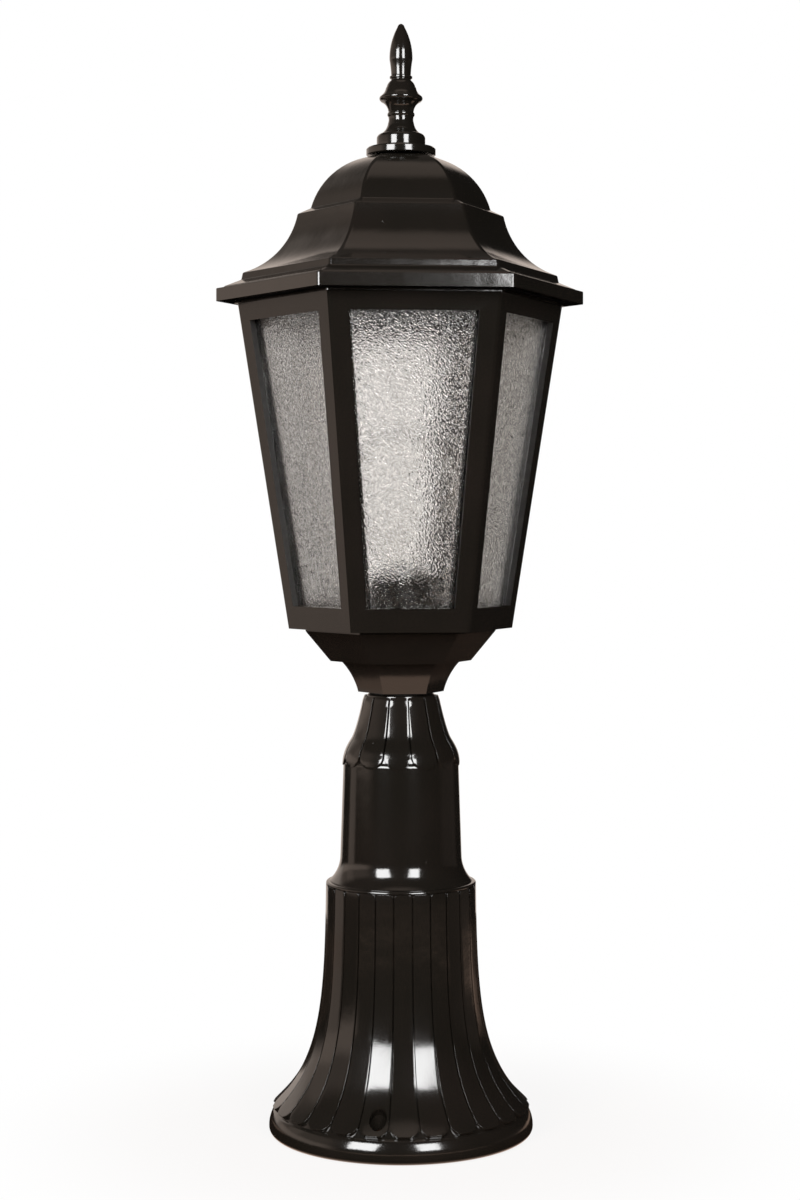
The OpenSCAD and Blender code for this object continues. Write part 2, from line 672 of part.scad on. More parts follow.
module lampholder_cap() {
  step_z = insert_foot_z - 2;
  color(bakelite) rotate_extrude()
    polygon(concat([[nipple_d / 2 + face_gap, holder_foot_z], [9, holder_foot_z]],
      bow([9, holder_foot_z], [holder_r, holder_foot_z + 9], 12, 6),
      [[holder_r, step_z - face_gap], [insert_r - face_gap, step_z - face_gap],
       [insert_r - face_gap, insert_foot_z - face_gap], [insert_r - 2, insert_foot_z - face_gap],
       [insert_r - 2, holder_foot_z + 9]],
      bow([insert_r - 2, holder_foot_z + 9], [8, holder_foot_z + holder_foot_t], -10, 6),
      [[nipple_d / 2 + face_gap, holder_foot_z + holder_foot_t]]));
}

module lampholder_insert() {
  color(porcelain) difference() {
    translate([0, 0, insert_foot_z]) cylinder(h = insert_t, r = insert_r - face_gap);
    translate([0, 0, insert_foot_z - bite]) cylinder(h = insert_t + 2 * bite, d = 3 + 2 * face_gap);
  }
}

module lampholder_shell() {
  color(brassy) translate([0, 0, insert_top_z + face_gap]) rotate_extrude()
    polygon([[shell_r - shell_t, 0], [insert_r - 0.5, 0], [insert_r - 0.5, shell_t],
             [shell_r, shell_t], [shell_r, shell_l], [shell_r - shell_t, shell_l]]);
}

module lampholder_skirt() {
  foot_z = insert_foot_z - 2;
  shoulder_z = insert_top_z + 2 * shell_t;
  color(bakelite) rotate_extrude()
    polygon(concat([[insert_r + face_gap, foot_z], [holder_r, foot_z]],
      bow([holder_r, foot_z + 6], [holder_r - 0.6, foot_z + 9], 40, 2),
      bow([holder_r - 0.6, holder_top_z - 1.5], [holder_r - 2.1, holder_top_z], 1.5, 4),
      [[shell_r + face_gap, holder_top_z], [shell_r + face_gap, shoulder_z],
       [insert_r + face_gap, shoulder_z]]));
}

module holder_terminals() {
  color(brassy) for (s = [-1, 1]) translate([s * terminal_x, 0, insert_foot_z - terminal_h / 2 - face_gap])
    cube([5, 6, terminal_h], center = true);
}

module centre_contact() {
  color(brassy) {
    translate([0, 0, insert_foot_z - 1]) cylinder(h = insert_t + 1 + 2 * face_gap, d = 3);
    translate([0, 0, insert_top_z + face_gap]) cylinder(h = contact_t, d = 9);
  }
}

lamp_foot_z = insert_top_z + face_gap + contact_t + seat_gap;
lamp_tip_t = 2.2;
lamp_neck_z = lamp_foot_z + lamp_tip_t + 24;       // where the glass leaves the cap
lamp_top_z = lamp_foot_z + lamp_l;
neck_sink = 0.68 * lamp_cap_d;                      // how deep the glass sits in the cap
lamp_wall = 1;
lamp_neck_r = lamp_cap_d / 2 - 2.4;

module lamp_contact() {
  color(bakelite) translate([0, 0, lamp_foot_z]) rotate_extrude()
    polygon([[0, 0], [4.5, 0], [5, 0.8], [lamp_neck_r, lamp_tip_t], [0, lamp_tip_t]]);
}

module lamp_cap() {
  color(brassy) translate([0, 0, lamp_foot_z + lamp_tip_t + face_gap]) difference() {
    cylinder(h = 25, d = lamp_cap_d);
    translate([0, 0, -bite]) cylinder(h = 26, r = lamp_neck_r + face_gap);
  }
}

// Outside of the lamp's glass from its neck to its top, less a depth
function lamp_line(depth) =
  let (r = lamp_d / 2, mid_z = lamp_top_z - r)
  concat([[lamp_neck_r - depth, lamp_neck_z - neck_sink]],
    curve([lamp_neck_r - depth, lamp_neck_z + 2], [lamp_neck_r + 1 - depth, lamp_neck_z + 16],
          [r - depth, mid_z - 22], [r - depth, mid_z], 10),
    [for (i = [1 : 8]) [(r - depth) * cos(90 * i / 8), mid_z + (r - depth) * sin(90 * i / 8)]]);

module lamp_glass() {
  outer = lamp_line(0);
  inner = lamp_line(lamp_wall);
  color(glass, 0.3) rotate_extrude()
    polygon(concat(outer, [for (i = [len(inner) - 1 : -1 : 0]) inner[i]]));
}

// Glass stem with its foot sealed in the neck, two supports and the filament between them
module lamp_mount() {
  stem_top_z = lamp_neck_z + 0.23 * lamp_l;
  arm_top_z = stem_top_z + 0.155 * lamp_l;
  arm_x = 0.15 * lamp_d;
  color(glass) {
    rotate_extrude() polygon(concat(
      [[0, lamp_neck_z - neck_sink], [lamp_neck_r - lamp_wall - face_gap, lamp_neck_z - neck_sink],
       [lamp_neck_r - lamp_wall - face_gap, lamp_neck_z - neck_sink + 3]],
      bow([lamp_neck_r - lamp_wall - face_gap, lamp_neck_z - neck_sink + 3], [3, lamp_neck_z + 6], -26, 6),
      [[2, stem_top_z], [0, stem_top_z]]));
    for (s = [-1, 1]) {
      translate([0, 0, stem_top_z - 1]) rotate([0, s * atan(arm_x / (arm_top_z - stem_top_z)), 0])
        cylinder(h = norm([arm_x, arm_top_z - stem_top_z]) + 1, d = 1, $fn = 16);
    }
    translate([-arm_x, 0, arm_top_z]) rotate([0, 90, 0]) cylinder(h = 2 * arm_x, d = 1, $fn = 16);
  }
}

// ---------------------------------------------------------------- bridge, rod and roof

rod_foot_z = bridge_z - 7;
rod_nut_h = 5;
rod_nut_af = rod_d + 4;
rod_top_z = z_finial + finial_h / 2;

module roof_bridge() {
  color(zinc) difference() {
    intersection() {
      translate([-boss_r - bridge_boss_d / 2, -bridge_w / 2, bridge_z])
        cube([2 * boss_r + bridge_boss_d, bridge_w, bridge_t]);
      translate([0, 0, bridge_z - bite])
        cylinder(h = bridge_t + 2 * bite, r = bridge_reach, $fn = 6);
    }
    translate([0, 0, bridge_z - bite]) cylinder(h = bridge_t + 2 * bite, d = rod_d + 2 * face_gap);
    ring_of(2) translate([boss_r, 0, bridge_z - bite])
      cylinder(h = bridge_t + 2 * bite, d = screw_d + 2 * slide_gap);
  }
}

module bridge_screws() {
  color(zinc) ring_of(2) translate([boss_r, 0, bridge_z + bridge_t + face_gap])
    pan_screw(screw_d, bridge_t + bridge_boss_h - 1, 2 * screw_d, 0.6 * screw_d);
}

module finial_rod() {
  color(zinc) translate([0, 0, rod_foot_z]) cylinder(h = rod_top_z - rod_foot_z, d = rod_d);
}

module rod_nuts() {
  color(zinc) for (z = [bridge_z - rod_nut_h, bridge_z + bridge_t + face_gap])
    translate([0, 0, z]) nut(rod_nut_af, rod_nut_h - face_gap, rod_d + 2 * face_gap);
}

rib_r = (cage_top_d / 2 + cage_inside(z_cage_top, cage_wall)) / 2;   // roof rib, over the cage walls
rib_t = 4;
gasket_foot_z = z_flange + seat_gap;
roof_hole_d = rod_d + 2;

module roof() {
  w = roof_wall;
  crown_mid = [crown_d / 2 - sqrt(pow(crown_bow, 2) - pow(crown_bow - crown_h, 2)),
               z_crown_top - crown_bow];
  skirt_out = bow([skirt_foot_d / 2, z_skirt], [skirt_top_d / 2, z_skirt_top], -skirt_bow, 14);
  function crown_arc(depth) = [for (i = [0 : 14])
    let (low = asin(min(1, (z_crown - depth - crown_mid[1]) / (crown_bow - depth))),
         a = low + (90 - low) * i / 14)
    [crown_mid[0] + (crown_bow - depth) * cos(a), crown_mid[1] + (crown_bow - depth) * sin(a)]];
  outside = concat(
    [[brim_d / 2, z_brim], [brim_d / 2, z_fascia], [skirt_foot_d / 2 + 0.2, z_riser]],
    skirt_out, crown_arc(0), [[crown_mid[0] / 2, z_crown_top]]);
  inside = concat(
    [[brim_d / 2 - w - 0.5, z_brim - bite], [brim_d / 2 - w - 0.5, z_fascia - w + 0.9],
     [skirt_foot_d / 2 - w, z_riser - w + 0.8]],
    bow([skirt_foot_d / 2 - w, z_skirt - 1.2], [skirt_top_d / 2 - w + 0.4, z_skirt_top - w],
        -(skirt_bow + w), 10),
    crown_arc(w), [[crown_mid[0] / 2, z_crown_top - w]]);
  color(enamel) difference() {
    union() {
      difference() {
        hex_body(outside);
        hex_body(inside);
      }
      // rib that presses the gasket down on the cage
      intersection() {
        difference() {
          hex_body([[rib_r + rib_t / 2, gasket_foot_z + roof_gasket_t], [rib_r + rib_t / 2, z_skirt]]);
          hex_body([[rib_r - rib_t / 2, z_brim], [rib_r - rib_t / 2, z_skirt + bite]]);
        }
        hex_body(outside);
      }
      // round boss under the finial
      intersection() {
        translate([0, 0, z_crown_top - w - 3]) cylinder(h = w + 3, d = finial_collar_d);
        hex_body(outside);
      }
    }
    translate([0, 0, z_crown_top - w - 3 - bite]) cylinder(h = w + 3 + 2 * bite, d = roof_hole_d);
  }
}

module roof_gasket() {
  color(bakelite) difference() {
    translate([0, 0, gasket_foot_z])
      cylinder(h = roof_gasket_t - face_gap, r = rib_r + rib_t / 2 + 0.4, $fn = 6);
    translate([0, 0, gasket_foot_z - bite])
      cylinder(h = roof_gasket_t + 2 * bite, r = rib_r - rib_t / 2 - 0.4, $fn = 6);
  }
}

seal_d = 24;
seal_t = 2;
seal_bore_d = rod_d + 6;

module finial() {
  f = finial_flange_d / 2;
  c = finial_collar_d / 2;
  disc = finial_disc_d / 2;
  spear = finial_spear_d / 2;
  k = finial_h / 70.8;                             // stretch of the outline against its drawn height
  outline = concat(
    [[f - 0.6, 0], [f, 0.5], [f, 3.4 * k], [f - 0.8, 4.2 * k], [c + 0.6, 4.6 * k], [c, 5.2 * k]],
    bow([c, 9.4 * k], [c - 2.6, 11.8 * k], 2.8, 5),
    bow([9.6, 12.6 * k], [7, 17.4 * k], -8, 5),
    bow([6.7, 18.6 * k], [6.7, 20.4 * k], -4, 2),
    bow([6.7, 20.8 * k], [6.7, 23.4 * k], 1.6, 5),
    bow([6.9, 24.2 * k], [disc - 1, 29.2 * k], -6.4, 6),
    bow([disc - 0.6, 29.6 * k], [disc - 0.9, 32 * k], 1.5, 5),
    bow([disc - 1.6, 32.6 * k], [8.2, 36.2 * k], -6, 4),
    bow([7.8, 36.8 * k], [5.4, 40.4 * k], 6, 4),
    [[5.3, 41 * k], [6.1, 41.6 * k], [6.1, 42.4 * k], [5.3, 43 * k]],
    bow([5.3, 43.6 * k], [spear, 51.6 * k], -60, 4),
    bow([spear, 51.6 * k], [2, finial_h - 2], 34, 10),
    bow([2, finial_h - 2], [0, finial_h], 2.4, 4));
  color(enamel) translate([0, 0, z_finial]) difference() {
    rotate_extrude() polygon(concat([[0, 0]], outline));
    translate([0, 0, -bite]) cylinder(h = rod_top_z - z_finial + 3 + bite, d = rod_d + 2 * thread_gap);
    translate([0, 0, -bite]) cylinder(h = seal_t + bite, d = seal_d + 2 * face_gap);
  }
}

module finial_seal() {
  color(bakelite) translate([0, 0, z_finial]) difference() {
    cylinder(h = seal_t - face_gap, d = seal_d);
    translate([0, 0, -bite]) cylinder(h = seal_t + 2 * bite, d = seal_bore_d);
  }
}

// ---------------------------------------------------------------- wiring

pole_pitch = 9;
block_y = lug_y - block_t;                         // front face of the terminal block
lead_y = lug_y - block_t / 2;
block_screw_x = pole_pitch / 2;
nipple_lead_x = 1.8;

module terminal_block() {
  color(porcelain) difference() {
    union() {
      translate([-block_w / 2, block_y + 3, block_z]) cube([block_w, block_t - 3 - face_gap, block_h]);
      for (i = [-1 : 1]) translate([i * pole_pitch, block_y + 3, block_z + block_h / 2]) rotate([90, 0, 0])
        translate([0, 0, -tiny]) cylinder(h = 3, d = 7, $fn = 32);
    }
    translate([block_screw_x, block_y + 2, block_z + block_h / 2]) rotate([-90, 0, 0])
      cylinder(h = block_t, d = block_screw_d + 2 * slide_gap);
    translate([block_screw_x, block_y - bite, block_z + block_h / 2]) rotate([-90, 0, 0])
      cylinder(h = 3 + bite - tiny, d = block_head_d + 2 * slide_gap);
    for (i = [-1 : 1]) translate([i * pole_pitch, block_y - bite, block_z + block_h / 2])
      rotate([-90, 0, 0]) cylinder(h = 4, d = 4 + 2 * face_gap, $fn = 32);
  }
}

module terminal_screws() {
  color(zinc) for (i = [-1 : 1]) translate([i * pole_pitch, block_y + 0.8, block_z + block_h / 2])
    rotate([-90, 0, 0]) cylinder(h = 2.6, d = 4, $fn = 32);
}

module block_screw() {
  color(zinc) translate([block_screw_x, block_y + 3 - face_gap, block_z + block_h / 2])
    rotate([90, 0, 0]) pan_screw(block_screw_d, block_t - 3 + block_screw_l - 1, block_head_d, 1.6);
}

module earth_screw() {
  color(brassy) translate([0, lug_y - 1, earth_z]) rotate([90, 0, 0])
    pan_screw(screw_d, block_screw_l, 2 * screw_d, 2.4);
}

// Route of a lead on side s: up the bell and shaft, through the nipple, out to its terminal
function lead_route(s) = [
  [s * pole_pitch, lead_y, block_z + block_h + face_gap],
  [s * pole_pitch, lead_y, block_z + block_h + 18],
  [s * nipple_lead_x, 0, nipple_foot_z - 24],
  [s * nipple_lead_x, 0, nipple_foot_z],
  [s * nipple_lead_x, 0, nipple_top_z + 2],
  [s * terminal_x, 0, insert_foot_z - terminal_h - 4],
  [s * terminal_x, 0, insert_foot_z - terminal_h - 2 * face_gap]];

module live_lead() { color("#6b3a1e") lead(smooth_route(lead_route(1)), lead_d); }
module neutral_lead() { color("#2f5f9e") lead(smooth_route(lead_route(-1)), lead_d); }

module earth_lead() {
  tag_t = 1 - 2 * face_gap;
  color("#4f7d3a") {
    lead(smooth_route([[0, lead_y, block_z + block_h + face_gap], [0, lead_y, block_z + block_h + 7],
                       [0, lug_y - lead_d / 2 - 0.2, block_z + block_h + 14],
                       [0, lug_y - lead_d / 2 - 0.2, earth_z - 4.2]]), lead_d);
    translate([0, lug_y - face_gap, earth_z]) rotate([90, 0, 0]) difference() {
      cylinder(h = tag_t, d = 2 * screw_d + 1.5);
      translate([0, 0, -bite]) cylinder(h = 2, d = screw_d + 2 * slide_gap);
    }
  }
}

// ---------------------------------------------------------------- nodes

bell();
column();
column_screws();
neck_gasket();
nipple();
nipple_washer();
nipple_nut(z_nut_lower);  // nipple_nut_lower
nipple_nut(z_nut_upper);  // nipple_nut_upper
cup();
cage();
cage_screws();
pane(0);  // pane_front
pane(1);  // pane_front_right
pane(2);  // pane_back_right
pane(3);  // pane_back
pane(4);  // pane_back_left
pane(5);  // pane_front_left
lampholder_cap();
lampholder_insert();
lampholder_shell();
lampholder_skirt();
holder_terminals();
centre_contact();
terminal_block();
terminal_screws();
block_screw();
earth_screw();
live_lead();
neutral_lead();
earth_lead();
roof_bridge();
bridge_screws();
finial_rod();
rod_nuts();
roof();
roof_gasket();
finial();
finial_seal();
lamp_contact();
lamp_cap();
lamp_glass();
lamp_mount();
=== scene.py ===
"""Dresses the hexagonal pedestal lantern: softened castings, hammered panes, fittings, light and camera."""

from __future__ import annotations

import json
import logging
import math
from dataclasses import dataclass
from enum import Enum
from typing import Callable, Iterable, Sequence, Union

import bmesh
import bpy
from mathutils import Matrix, Vector

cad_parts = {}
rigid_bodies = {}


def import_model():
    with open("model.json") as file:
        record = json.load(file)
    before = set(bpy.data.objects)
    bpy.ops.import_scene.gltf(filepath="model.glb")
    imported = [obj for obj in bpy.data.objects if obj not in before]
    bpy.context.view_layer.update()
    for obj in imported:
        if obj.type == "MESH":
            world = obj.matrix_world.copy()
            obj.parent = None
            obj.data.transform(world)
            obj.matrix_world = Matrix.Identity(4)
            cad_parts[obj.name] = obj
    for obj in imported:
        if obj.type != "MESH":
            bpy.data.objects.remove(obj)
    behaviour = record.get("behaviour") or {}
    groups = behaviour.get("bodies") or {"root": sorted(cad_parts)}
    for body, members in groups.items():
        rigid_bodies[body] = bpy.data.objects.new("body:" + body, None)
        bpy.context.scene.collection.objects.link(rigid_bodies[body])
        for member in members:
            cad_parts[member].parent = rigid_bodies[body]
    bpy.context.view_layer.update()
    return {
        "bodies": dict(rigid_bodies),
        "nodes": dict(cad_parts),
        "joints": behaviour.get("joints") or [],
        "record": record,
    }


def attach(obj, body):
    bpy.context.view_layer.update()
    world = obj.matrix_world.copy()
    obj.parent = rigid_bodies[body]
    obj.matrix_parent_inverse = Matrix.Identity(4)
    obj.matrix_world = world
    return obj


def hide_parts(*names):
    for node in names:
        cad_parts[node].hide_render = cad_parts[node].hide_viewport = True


LOG = logging.getLogger("lantern")
MM = 0.001

Number = Union[float, "Wire"]
Point = Sequence[float]
Test = Callable[[object], bool]


# ---------------------------------------------------------------- shader expressions


class Wire:
    """A node output that takes part in arithmetic, each operator adding one Math node."""

    def __init__(self, recipe: "Recipe", socket: bpy.types.NodeSocket) -> None:
        """Keeps the output and the recipe that it belongs to."""
        self.recipe = recipe
        self.socket = socket

    def _math(self, operation: str, *values: Number) -> "Wire":
        """Adds a Math node over the values.

        Args:
            operation: Math node operation.
            values: Inputs in order, numbers or wires.

        Returns:
            The node's result.
        """
        return self.recipe.node("ShaderNodeMath", {"operation": operation}, dict(enumerate(values)))

    def __add__(self, other: Number) -> "Wire":
        """Sum."""
        return self._math("ADD", self, other)

    __radd__ = __add__

    def __sub__(self, other: Number) -> "Wire":
        """Difference."""
        return self._math("SUBTRACT", self, other)

    def __rsub__(self, other: Number) -> "Wire":
        """Difference from a number."""
        return self._math("SUBTRACT", other, self)

    def __mul__(self, other: Number) -> "Wire":
        """Product."""
        return self._math("MULTIPLY", self, other)

    __rmul__ = __mul__

    def turn_from(self, other: "Wire") -> "Wire":
        """Angle whose tangent is this over the other, in radians."""
        return self._math("ARCTAN2", self, other)

    def clamp(self) -> "Wire":
        """Limits the value to 0 and 1."""
        return self.recipe.node("ShaderNodeClamp", {}, {"Value": self})

    def most(self, other: Number) -> "Wire":
        """Larger of two values."""
        return self._math("MAXIMUM", self, other)

    def rise(self, low: float, high: float) -> "Wire":
        """Smooth step.

        Args:
            low: Value that gives 0.
            high: Value that gives 1.

        Returns:
            The eased value between 0 and 1.
        """
        return self.recipe.node("ShaderNodeMapRange", {"interpolation_type": "SMOOTHSTEP"},
                                {"Value": self, "From Min": low, "From Max": high})


@dataclass(frozen=True)
class Fade:
    """Smooth step of a value from one limit to the other, times a strength."""

    low: float
    high: float
    strength: float = 1.0

    def on(self, value: Wire) -> Wire:
        """The step over a value."""
        return value.rise(self.low, self.high) * self.strength


@dataclass(frozen=True)
class Band:
    """Stretch of a value that fades in over the first two limits and out over the last two."""

    start: float
    full: float
    fading: float
    gone: float
    strength: float = 1.0

    def on(self, value: Wire) -> Wire:
        """The band over a value."""
        return value.rise(self.start, self.full) * (1.0 - value.rise(self.fading, self.gone)) * self.strength


class Recipe:
    """Builds one node tree."""

    def __init__(self, tree: bpy.types.NodeTree) -> None:
        """Starts from an emptied tree."""
        self.tree = tree
        tree.nodes.clear()

    def raw(self, kind: str, settings: dict, inputs: dict) -> bpy.types.Node:
        """Adds a node, sets it and feeds it.

        Args:
            kind: Node type name.
            settings: Attributes, set first.
            inputs: Socket name or number to a value or a Wire.

        Returns:
            The node.
        """
        made = self.tree.nodes.new(kind)
        for name, value in settings.items():
            setattr(made, name, value)
        for name, value in inputs.items():
            if isinstance(value, Wire):
                self.tree.links.new(value.socket, made.inputs[name])
            else:
                made.inputs[name].default_value = value
        return made

    def node(self, kind: str, settings: dict, inputs: dict, output: Union[str, int] = 0) -> Wire:
        """Adds a node and hands back one of its outputs.

        Args:
            kind: Node type name.
            settings: Attributes, set first.
            inputs: Socket name or number to a value or a Wire.
            output: Name or number of the output wanted.

        Returns:
            That output.
        """
        return Wire(self, self.raw(kind, settings, inputs).outputs[output])

    def place(self) -> Wire:
        """Object coordinates, in metres."""
        return self.node("ShaderNodeTexCoord", {}, {}, "Object")

    def axes(self, place: Wire) -> list[Wire]:
        """X, Y and Z of a place."""
        parts = self.raw("ShaderNodeSeparateXYZ", {}, {"Vector": place}).outputs
        return [Wire(self, parts[name]) for name in "XYZ"]

    def rays(self) -> list[Wire]:
        """Whether a ray comes from the camera, a glossy surface or through glass."""
        kinds = self.raw("ShaderNodeLightPath", {}, {}).outputs
        return [Wire(self, kinds[f"Is {name} Ray"]) for name in ("Camera", "Glossy", "Transmission")]

    def vector(self, operation: str, first: Wire, second: Union[Wire, Point, None] = None,
               output: Union[str, int] = 0) -> Wire:
        """Vector maths.

        Args:
            operation: Vector Math node operation.
            first: First vector.
            second: Second vector, where the operation takes one.
            output: Name or number of the output wanted.

        Returns:
            The result.
        """
        inputs = {0: first} if second is None else {0: first, 1: second}
        return self.node("ShaderNodeVectorMath", {"operation": operation}, inputs, output)

    def noise(self, scale: float, detail: float = 2.0, rough: float = 0.5, at: Wire | None = None) -> Wire:
        """Noise over the object.

        Args:
            scale: Cells per metre.
            detail: Octaves.
            rough: Weight of the finer octaves.
            at: Coordinates, the object's own if left out.

        Returns:
            The noise, about 0 to 1.
        """
        return self.node("ShaderNodeTexNoise", {},
                         {"Vector": at or self.place(), "Scale": scale, "Detail": detail, "Roughness": rough})

    def mix(self, factor: Number, low: Union[Wire, Point], high: Union[Wire, Point]) -> Wire:
        """Mixes two colours.

        Args:
            factor: 0 for low, 1 for high.
            low: First colour, a wire or red, green and blue.
            high: Second colour, likewise.

        Returns:
            The mixed colour.
        """
        low, high = (colour if isinstance(colour, Wire) else (*colour, 1.0) for colour in (low, high))
        return self.node("ShaderNodeMix", {"data_type": "RGBA"}, {0: factor, 6: low, 7: high}, 2)

    def bump(self, height: Wire, distance: float) -> Wire:
        """Bump from a height of 0 to 1.

        Args:
            height: Height field.
            distance: Height in metres that 1 stands for.

        Returns:
            The normal.
        """
        return self.node("ShaderNodeBump", {}, {"Strength": 1.0, "Distance": distance, "Height": height})

    def surface(self, inputs: dict) -> None:
        """Ends the tree in a principled surface.

        Args:
            inputs: The shader's sockets.
        """
        shader = self.node("ShaderNodeBsdfPrincipled", {}, inputs)
        self.raw("ShaderNodeOutputMaterial", {}, {"Surface": shader})


# ---------------------------------------------------------------- finishes


class Slot(Enum):
    """Material slots of the record."""

    ENAMEL = "enamel"
    HAMMERED = "hammered_glass"
    CLEAR = "clear_glass"
    ZINC = "zinc_steel"
    BRASS = "brass"
    LAMP_CAP = "lamp_cap_metal"
    BAKELITE = "bakelite"
    PORCELAIN = "porcelain"
    BLOCK = "block_plastic"
    RUBBER = "rubber_black"
    BROWN = "lead_brown"
    BLUE = "lead_blue"
    GREEN = "lead_green"


@dataclass(frozen=True)
class Enamel:
    """Glossy dark brown stove enamel with orange peel, dust nibs and clouding, matt inside a casting."""

    colour: tuple[float, float, float] = (0.0088, 0.0076, 0.0060)
    clouded: tuple[float, float, float] = (0.0125, 0.0098, 0.0080)
    roughness: float = 0.07
    index: float = 1.75

    def build(self, recipe: Recipe) -> None:
        """Writes the finish.

        Args:
            recipe: The material's tree.
        """
        cloud = recipe.noise(14.0, 3.0)
        peel = recipe.noise(230.0, 1.0)
        swell = recipe.noise(48.0, 1.0)
        grain = recipe.noise(1250.0, 1.0)
        dust = recipe.node("ShaderNodeTexVoronoi", {}, {"Vector": recipe.place(), "Scale": 55.0})
        nib = 1.0 - dust.rise(0.012, 0.028)
        outward = recipe.vector("NORMALIZE", recipe.vector("MULTIPLY", recipe.place(), (1.0, 1.0, 0.0)))
        normal = recipe.node("ShaderNodeNewGeometry", {}, {}, "Normal")
        inside = recipe.vector("DOT_PRODUCT", outward, normal, "Value").rise(-0.15, -0.35)
        recipe.surface({
            "Base Color": recipe.mix(cloud.rise(0.35, 0.75), self.colour, self.clouded),
            "Roughness": self.roughness + 0.05 * cloud + 0.04 * grain + 0.5 * inside,
            "IOR": self.index,
            "Normal": recipe.bump(swell * 2.0 + peel * 0.30 + grain * 0.14 + nib * 1.6, 0.00009),
        })


@dataclass(frozen=True)
class Hammered:
    """Clear glass whose face is rolled into fine slanting worms, with painted shade in their hollows."""

    tint: tuple[float, float, float] = (0.955, 0.942, 0.930)
    dimmed: tuple[float, float, float] = (0.72, 0.708, 0.697)
    grain: float = 1280.0
    depth: float = 0.00024

    def build(self, recipe: Recipe) -> None:
        """Writes the finish.

        Args:
            recipe: The material's tree.
        """
        slanted = recipe.node("ShaderNodeMapping", {"vector_type": "TEXTURE"},
                              {"Vector": recipe.place(), "Rotation": (0.0, math.radians(-45), 0.0),
                               "Scale": (1.0, 1.0, 1.45)})
        worm = recipe.noise(self.grain, 0.0, 0.5, slanted)
        recipe.surface({
            # Painted shade: the worms' hollows are darker.
            "Base Color": recipe.mix(worm.rise(0.62, 0.36), self.tint, self.dimmed),
            "Roughness": 0.06 + 0.05 * recipe.noise(40.0),
            "IOR": 1.5,
            "Transmission Weight": 1.0,
            "Normal": recipe.bump(worm, self.depth),
        })


@dataclass(frozen=True)
class ClearGlass:
    """Thin clear glass of the lamp, so thin that it hardly bends what is behind it."""

    def build(self, recipe: Recipe) -> None:
        """Writes the finish.

        Args:
            recipe: The material's tree.
        """
        smear = recipe.noise(35.0, 2.0)
        recipe.surface({
            "Base Color": recipe.mix(smear, (0.99, 0.99, 0.99), (0.975, 0.975, 0.97)),
            "Roughness": 0.01 + 0.03 * smear,
            "IOR": 1.10,
            "Transmission Weight": 1.0,
            "Normal": recipe.bump(recipe.noise(60.0, 1.0), 0.00002),
        })


@dataclass(frozen=True)
class Metal:
    """Bright fitting metal with drawn streaks and slight staining."""

    colour: tuple[float, float, float]
    stain: tuple[float, float, float]
    roughness: float = 0.3

    def build(self, recipe: Recipe) -> None:
        """Writes the finish.

        Args:
            recipe: The material's tree.
        """
        cloud = recipe.noise(120.0, 3.0)
        streak = recipe.noise(900.0, 2.0, 0.5, recipe.node(
            "ShaderNodeMapping", {}, {"Vector": recipe.place(), "Scale": (1.0, 1.0, 0.08)}))
        recipe.surface({
            "Base Color": recipe.mix(cloud.rise(0.4, 0.8), self.colour, self.stain),
            "Metallic": 1.0,
            "Roughness": self.roughness + 0.12 * cloud + 0.08 * streak,
            "Normal": recipe.bump(streak, 0.00001),
        })


@dataclass(frozen=True)
class Moulded:
    """Moulded or fired non-metal: plastic, rubber, porcelain or wire insulation."""

    colour: tuple[float, float, float]
    shade: tuple[float, float, float]
    roughness: float = 0.45
    grain: float = 700.0
    relief: float = 0.00002

    def build(self, recipe: Recipe) -> None:
        """Writes the finish.

        Args:
            recipe: The material's tree.
        """
        cloud = recipe.noise(80.0, 2.0)
        grain = recipe.noise(self.grain, 2.0)
        recipe.surface({
            "Base Color": recipe.mix(cloud.rise(0.3, 0.7), self.colour, self.shade),
            "Roughness": self.roughness + 0.1 * grain,
            "Normal": recipe.bump(grain, self.relief),
        })


FINISHES = {
    Slot.ENAMEL: Enamel(),
    Slot.HAMMERED: Hammered(),
    Slot.CLEAR: ClearGlass(),
    Slot.ZINC: Metal((0.55, 0.56, 0.58), (0.42, 0.43, 0.42), 0.28),
    Slot.BRASS: Metal((0.72, 0.52, 0.23), (0.50, 0.34, 0.14), 0.26),
    Slot.LAMP_CAP: Metal((0.76, 0.76, 0.77), (0.60, 0.60, 0.60), 0.22),
    Slot.BAKELITE: Moulded((0.012, 0.012, 0.012), (0.018, 0.017, 0.016), 0.32),
    Slot.PORCELAIN: Moulded((0.76, 0.74, 0.68), (0.70, 0.68, 0.62), 0.18, 300.0, 0.00001),
    Slot.BLOCK: Moulded((0.72, 0.72, 0.69), (0.66, 0.66, 0.62), 0.42),
    Slot.RUBBER: Moulded((0.014, 0.014, 0.014), (0.022, 0.022, 0.022), 0.68, 1500.0, 0.00003),
    Slot.BROWN: Moulded((0.15, 0.05, 0.02), (0.12, 0.04, 0.015), 0.4),
    Slot.BLUE: Moulded((0.03, 0.12, 0.40), (0.025, 0.10, 0.34), 0.4),
    Slot.GREEN: Moulded((0.10, 0.28, 0.05), (0.30, 0.38, 0.04), 0.4),
}


class Palette:
    """Materials by slot, made once."""

    def __init__(self) -> None:
        """Builds every finish."""
        self.made: dict[Slot, bpy.types.Material] = {}
        for slot, finish in FINISHES.items():
            material = bpy.data.materials.new(slot.value)
            material.use_nodes = True
            finish.build(Recipe(material.node_tree))
            self.made[slot] = material

    def paint(self, piece: bpy.types.Object, slot: Slot) -> None:
        """Gives a piece its finish.

        Args:
            piece: Object to paint.
            slot: Finish wanted.
        """
        if piece.data.materials:
            for index in range(len(piece.data.materials)):
                piece.data.materials[index] = self.made[slot]
        else:
            piece.data.materials.append(self.made[slot])


# ---------------------------------------------------------------- modelling by hand


